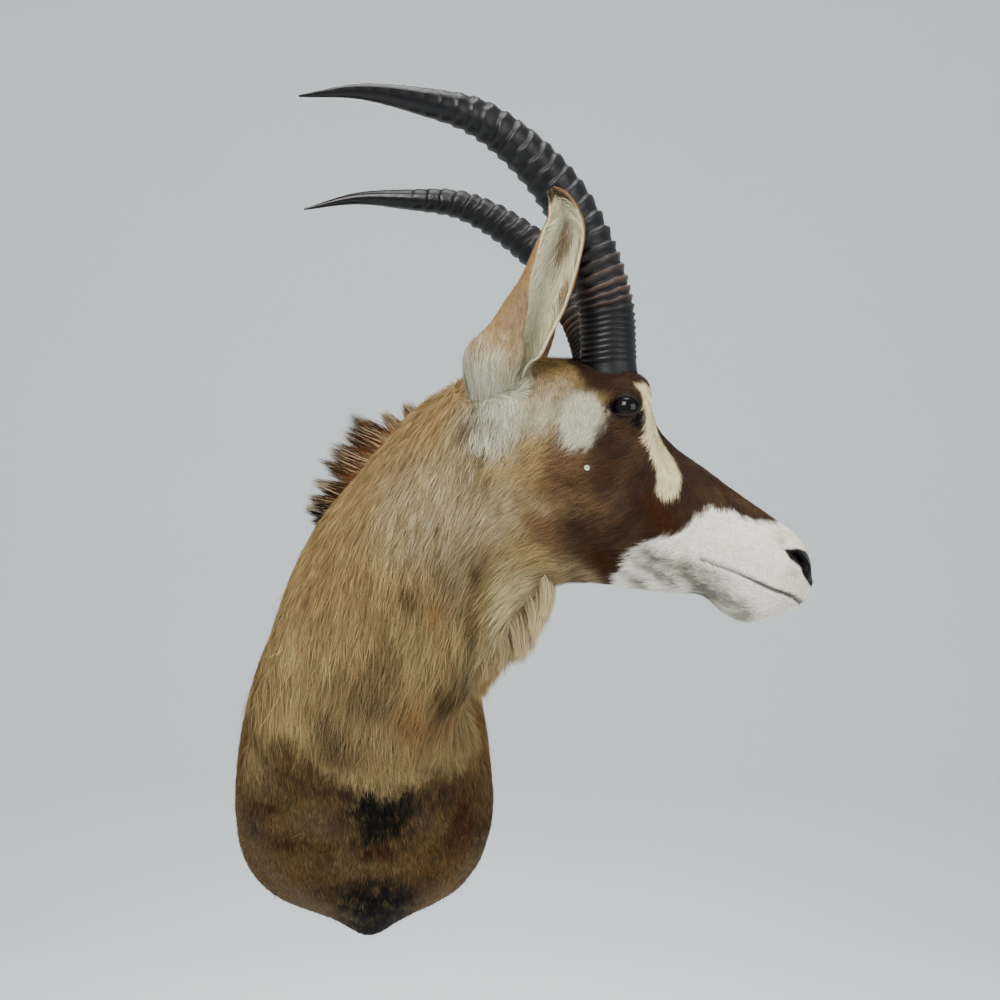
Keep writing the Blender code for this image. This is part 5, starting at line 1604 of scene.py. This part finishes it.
class MOUNT_OT_eyes(MountOperator, bpy.types.Operator):
    """Make the glass eyes, their lids and their lashes"""

    bl_idname = "mount.eyes"
    bl_label = "Eyes"

    def execute(self, context):
        tones = tones_of(settings("mount_eye"))
        glass = self.glass(tones)
        lid = Finish("eyelid", Roughness=0.6, Specular_IOR_Level=0.15)
        grain = lid.grain(500.0, 3.0)
        lid.set(Base_Color=lid.mix(grain, tones["lid"], paint(46, 34, 28)))
        lid.bump(grain, 0.0005, 0.5)
        lash = Finish("lash", Roughness=0.5)
        lash.set(Base_Color=lash.mix(lash.grain(300.0), paint(12, 10, 9), paint(40, 30, 24)))
        for name, side in (("right", -1), ("left", 1)):
            bm = bmesh.new()
            place = HEAD @ Matrix.Translation((EYE_CENTRE[0], EYE_CENTRE[1] * side, EYE_CENTRE[2]))
            place = place @ Matrix.Rotation(math.radians(-90 * side), 4, "X")
            bmesh.ops.create_uvsphere(bm, u_segments=48, v_segments=32, radius=EYE_RADIUS, matrix=place)
            mesh = mesh_from(bm, f"eyeball_{name}")
            q = to_head(vertex_points(mesh))
            oval_pupil = oval(q[:, 0], q[:, 2], (0.0, 0.0), EYE_TILT, PUPIL_LONG, PUPIL_SHORT)
            iris = oval(q[:, 0], q[:, 2], (0.0, 0.0), 0.0, IRIS_RADIUS, IRIS_RADIUS)
            for key, values in (("pupil", ramp(oval_pupil, 1.1, 0.85)), ("iris", ramp(iris, 1.08, 0.95))):
                layer = mesh.attributes.new(key, "FLOAT", "POINT")
                layer.data.foreach_set("value", values.astype(np.float32))
            add_piece(f"eyeball_{name}", mesh, glass, (f"eye_{name}",))
            self.lid(name, side, lid.material)
            self.lashes(name, side, lash.material)
        return {"FINISHED"}

    def glass(self, tones):
        finish = Finish("glass_eye", Roughness=0.05, Specular_IOR_Level=0.16, Coat_Weight=0.05,
                        Coat_Roughness=0.01)
        colour = finish.mix(finish.number("iris"), paint(10, 8, 8), tones["iris"])
        finish.set(Base_Color=finish.mix(finish.number("pupil"), colour, tones["pupil"]))
        return finish.material

    def rim(self, count, swell):
        """Points of the lids' edge on the eyeball, in the head's frame, for the left side."""
        t = np.arange(count) * math.tau / count
        c, s = math.cos(EYE_TILT), math.sin(EYE_TILT)
        u, v = np.cos(t) * EYE_LONG * swell, np.sin(t) * EYE_SHORT * swell
        x, z = EYE_OPENING[0] + u * c - v * s, EYE_OPENING[1] + u * s + v * c
        off = np.hypot(x - EYE_CENTRE[0], z - EYE_CENTRE[2])
        y = EYE_CENTRE[1] + np.sqrt(np.maximum(EYE_RADIUS ** 2 - off ** 2, 0.004 ** 2))
        return np.stack([x, y, z], axis=1), t

    def lid(self, name, side, material):
        """A rolled rim round the eye's opening, thicker above."""
        count, around = LID_POINTS, LID_COLUMNS
        edge, turn = self.rim(count, 1.02)
        ahead = unit(np.roll(edge, -1, axis=0) - np.roll(edge, 1, axis=0))
        outward = unit(edge - np.array(EYE_CENTRE))
        across = unit(np.cross(ahead, outward))
        thick = 0.0012 + 0.0008 * np.clip(np.sin(turn), 0, 1)
        a = np.arange(around) * math.tau / around
        c, s = np.cos(a)[None, :, None], np.sin(a)[None, :, None]
        ring = (edge[:, None] + outward[:, None] * (c * thick[:, None, None] * 0.8 + 0.0006)
                + across[:, None] * s * thick[:, None, None] * 1.7)
        ring = np.concatenate([ring, ring[:1]])
        ring[..., 1] *= side
        mesh = wrapped_mesh(f"eyelid_{name}", from_head(ring.reshape(-1, 3)).reshape(ring.shape))
        add_piece(f"eyelid_{name}", mesh, material)

    def lashes(self, name, side, material):
        rng = np.random.default_rng(401 + side)
        edge, turn = self.rim(400, 1.06)
        upper = np.flatnonzero((turn > 0.25) & (turn < 2.7))
        pick = rng.choice(upper, LASHES)
        root = edge[pick] + np.array([0, 0.0012, 0])
        tip = root + np.array([0.002, 0.0085, 0.0015]) * (0.6 + 0.5 * rng.random((LASHES, 1))) \
            + rng.normal(0, 0.0010, (LASHES, 3))
        for ends in (root, tip):
            ends[:, 1] *= side
        sag = np.tile(np.array([0, 0, -0.0010]), (LASHES, 1))
        spine = guided_hairs(from_head(root), from_head(tip), sag, 3)
        facing = np.tile(HEAD_TURN @ np.array([0.2, 0.3 * side, 1.0]), (LASHES, 4, 1))
        widths = np.full((LASHES, 1), 0.0004) * np.array([1, 0.8, 0.5, 0])
        mesh = ribbons(f"lashes_{name}", spine, facing, widths, np.full((LASHES, 4, 3), 0.02))
        add_piece(f"lashes_{name}", mesh, material)


class MOUNT_OT_back(MountOperator, bpy.types.Operator):
    """Finish the plywood board, the hanger plate and its screws"""

    bl_idname = "mount.back"
    bl_label = "Board and hanger"

    def execute(self, context):
        tones = tones_of(settings("mount_back"))
        wood = Finish("plywood_board", Roughness=0.7)
        grain = wood.grain(26.0, 6.0, 0.6, stretch=(6.0, 1.0, 0.5))
        rings = wood.node("TexWave", {"wave_type": "BANDS", "bands_direction": "X"},
                          {"Vector": wood.place((1.0, 1.0, 0.12)), "Scale": 22.0, "Distortion": 9.0,
                           "Detail": 3.0})
        colour = wood.mix(rings * 0.35 + grain * 0.35, tones["veneer"], tones["veneer_dark"])
        plies = wood.node("TexWave", {"wave_type": "BANDS", "bands_direction": "Y"},
                          {"Vector": wood.place(), "Scale": 44.0, "Distortion": 0.4, "Detail": 1.0})
        edge = wood.node("NewGeometry", output="Normal")
        facing = wood.node("SeparateXYZ", None, {0: edge}, 1)
        side = 1 - wood.node("Math", {"operation": "ABSOLUTE"}, {0: facing})
        colour = wood.mix(side * wood.between(plies, 0.45, 0.55), colour, tones["ply"])
        wood.set(Base_Color=colour, Roughness=wood.between(grain, 0, 1, 0.62, 0.82))
        wood.bump(grain, 0.0004, 0.5)
        steel = Finish("zinc_plate", Metallic=1.0, Roughness=0.35)
        spangle = steel.node("TexVoronoi", None, {"Vector": steel.place(), "Scale": 180.0})
        scuffs = steel.grain(220.0, 5.0, stretch=(0.3, 1, 1))
        steel.set(Base_Color=steel.mix(scuffs * 0.5, tones["steel"], paint(120, 120, 116)),
                  Roughness=steel.between(spangle, 0, 1, 0.28, 0.48))
        steel.bump(scuffs, 0.0002, 0.4)
        for node, material in (("back_board", wood.material), ("hanger_plate", steel.material),
                               ("hanger_screw_left", steel.material), ("hanger_screw_right", steel.material)):
            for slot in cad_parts[node].material_slots:
                slot.material = material
        return {"FINISHED"}


class MOUNT_OT_studio(MountOperator, bpy.types.Operator):
    """Set the pale backdrop, the soft lights and the camera"""

    bl_idname = "mount.studio"
    bl_label = "Studio"

    def execute(self, context):
        studio = settings("mount_studio")
        self.backdrop(tuple(studio.backdrop))
        for name, place, size, power, colour in LIGHTS:
            light = bpy.data.lights.new(name, "AREA")
            light.size, light.energy, light.color = size, power * studio.light, colour
            lamp = bpy.data.objects.new(name, light)
            lamp.location = place
            lamp.rotation_euler = (Vector(LIT_POINT) - lamp.location).to_track_quat("-Z", "Y").to_euler()
            context.scene.collection.objects.link(lamp)
        world = bpy.data.worlds.new("studio")
        world.use_nodes = True
        sky = world.node_tree.nodes["Background"].inputs
        sky["Color"].default_value, sky["Strength"].default_value = SKY_COLOUR, SKY_STRENGTH * studio.light
        context.scene.world = world
        camera = bpy.data.objects.new("camera", bpy.data.cameras.new("camera"))
        camera.location, camera.rotation_euler = CAMERA_PLACE, (math.radians(90), 0, 0)
        camera.data.sensor_width, camera.data.lens = SENSOR_WIDTH, SENSOR_WIDTH * 1.656
        context.scene.collection.objects.link(camera)
        context.scene.camera = camera
        return {"FINISHED"}

    def backdrop(self, colour):
        """A floor that sweeps up into a wall, far enough off that every side can be seen."""
        bm = bmesh.new()
        start = [bm.verts.new((-8, -6, -1.05)), bm.verts.new((8, -6, -1.05))]
        edge = bm.edges.new(start)
        floor = bmesh.ops.extrude_edge_only(bm, edges=[edge])["geom"]
        ends = [g for g in floor if isinstance(g, bmesh.types.BMVert)]
        bmesh.ops.translate(bm, vec=(0, 8.6, 0), verts=ends)
        edges = [e for e in bm.edges if all(v in ends for v in e.verts)]
        bmesh.ops.spin(bm, geom=edges + ends, cent=(0, 2.6, 0.95), axis=(1, 0, 0), angle=math.radians(90),
                       steps=24, use_duplicate=False)
        highest = max(v.co.z for v in bm.verts)
        top = [v for v in bm.verts if v.co.z > highest - 1e-4]
        edges = [e for e in bm.edges if all(v in top for v in e.verts)]
        wall = bmesh.ops.extrude_edge_only(bm, edges=edges)["geom"]
        bmesh.ops.translate(bm, vec=(0, 0, 5), verts=[g for g in wall if isinstance(g, bmesh.types.BMVert)])
        mesh = mesh_from(bm, "backdrop", outwards=False)
        finish = Finish("backdrop", Roughness=0.9)
        shade = tuple(c * 0.9 for c in colour)
        finish.set(Base_Color=finish.mix(finish.grain(3.0, 4.0) * 0.3, colour, shade))
        mesh.materials.append(finish.material)
        mesh.shade_smooth()
        backdrop = bpy.data.objects.new("backdrop", mesh)
        bpy.context.scene.collection.objects.link(backdrop)


OPERATORS = (MOUNT_OT_skin, MOUNT_OT_coat, MOUNT_OT_ears, MOUNT_OT_mane_and_beard, MOUNT_OT_horns,
             MOUNT_OT_eyes, MOUNT_OT_back, MOUNT_OT_studio)


class MOUNT_PT_panel(bpy.types.Panel):
    bl_idname = "MOUNT_PT_panel"
    bl_label = "Roan Shoulder Mount"
    bl_space_type = "VIEW_3D"
    bl_region_type = "UI"
    bl_category = "Mount"

    def draw(self, context):
        for operator in OPERATORS:
            self.layout.operator(operator.bl_idname)
        for name, group in GROUPS.items():
            box = self.layout.box()
            for key in group.__annotations__:
                box.prop(getattr(context.scene, name), key)


CLASSES = (*GROUPS.values(), *OPERATORS, MOUNT_PT_panel)


def register():
    for cls in CLASSES:
        bpy.utils.register_class(cls)
    for name, group in GROUPS.items():
        setattr(bpy.types.Scene, name, bpy.props.PointerProperty(type=group))


def unregister():
    for name in GROUPS:
        delattr(bpy.types.Scene, name)
    for cls in reversed(CLASSES):
        bpy.utils.unregister_class(cls)


def main():
    register()
    for operator in OPERATORS:
        group, name = operator.bl_idname.split(".")
        getattr(getattr(bpy.ops, group), name)()
    bpy.context.view_layer.update()


if __name__ == "__main__":
    main()
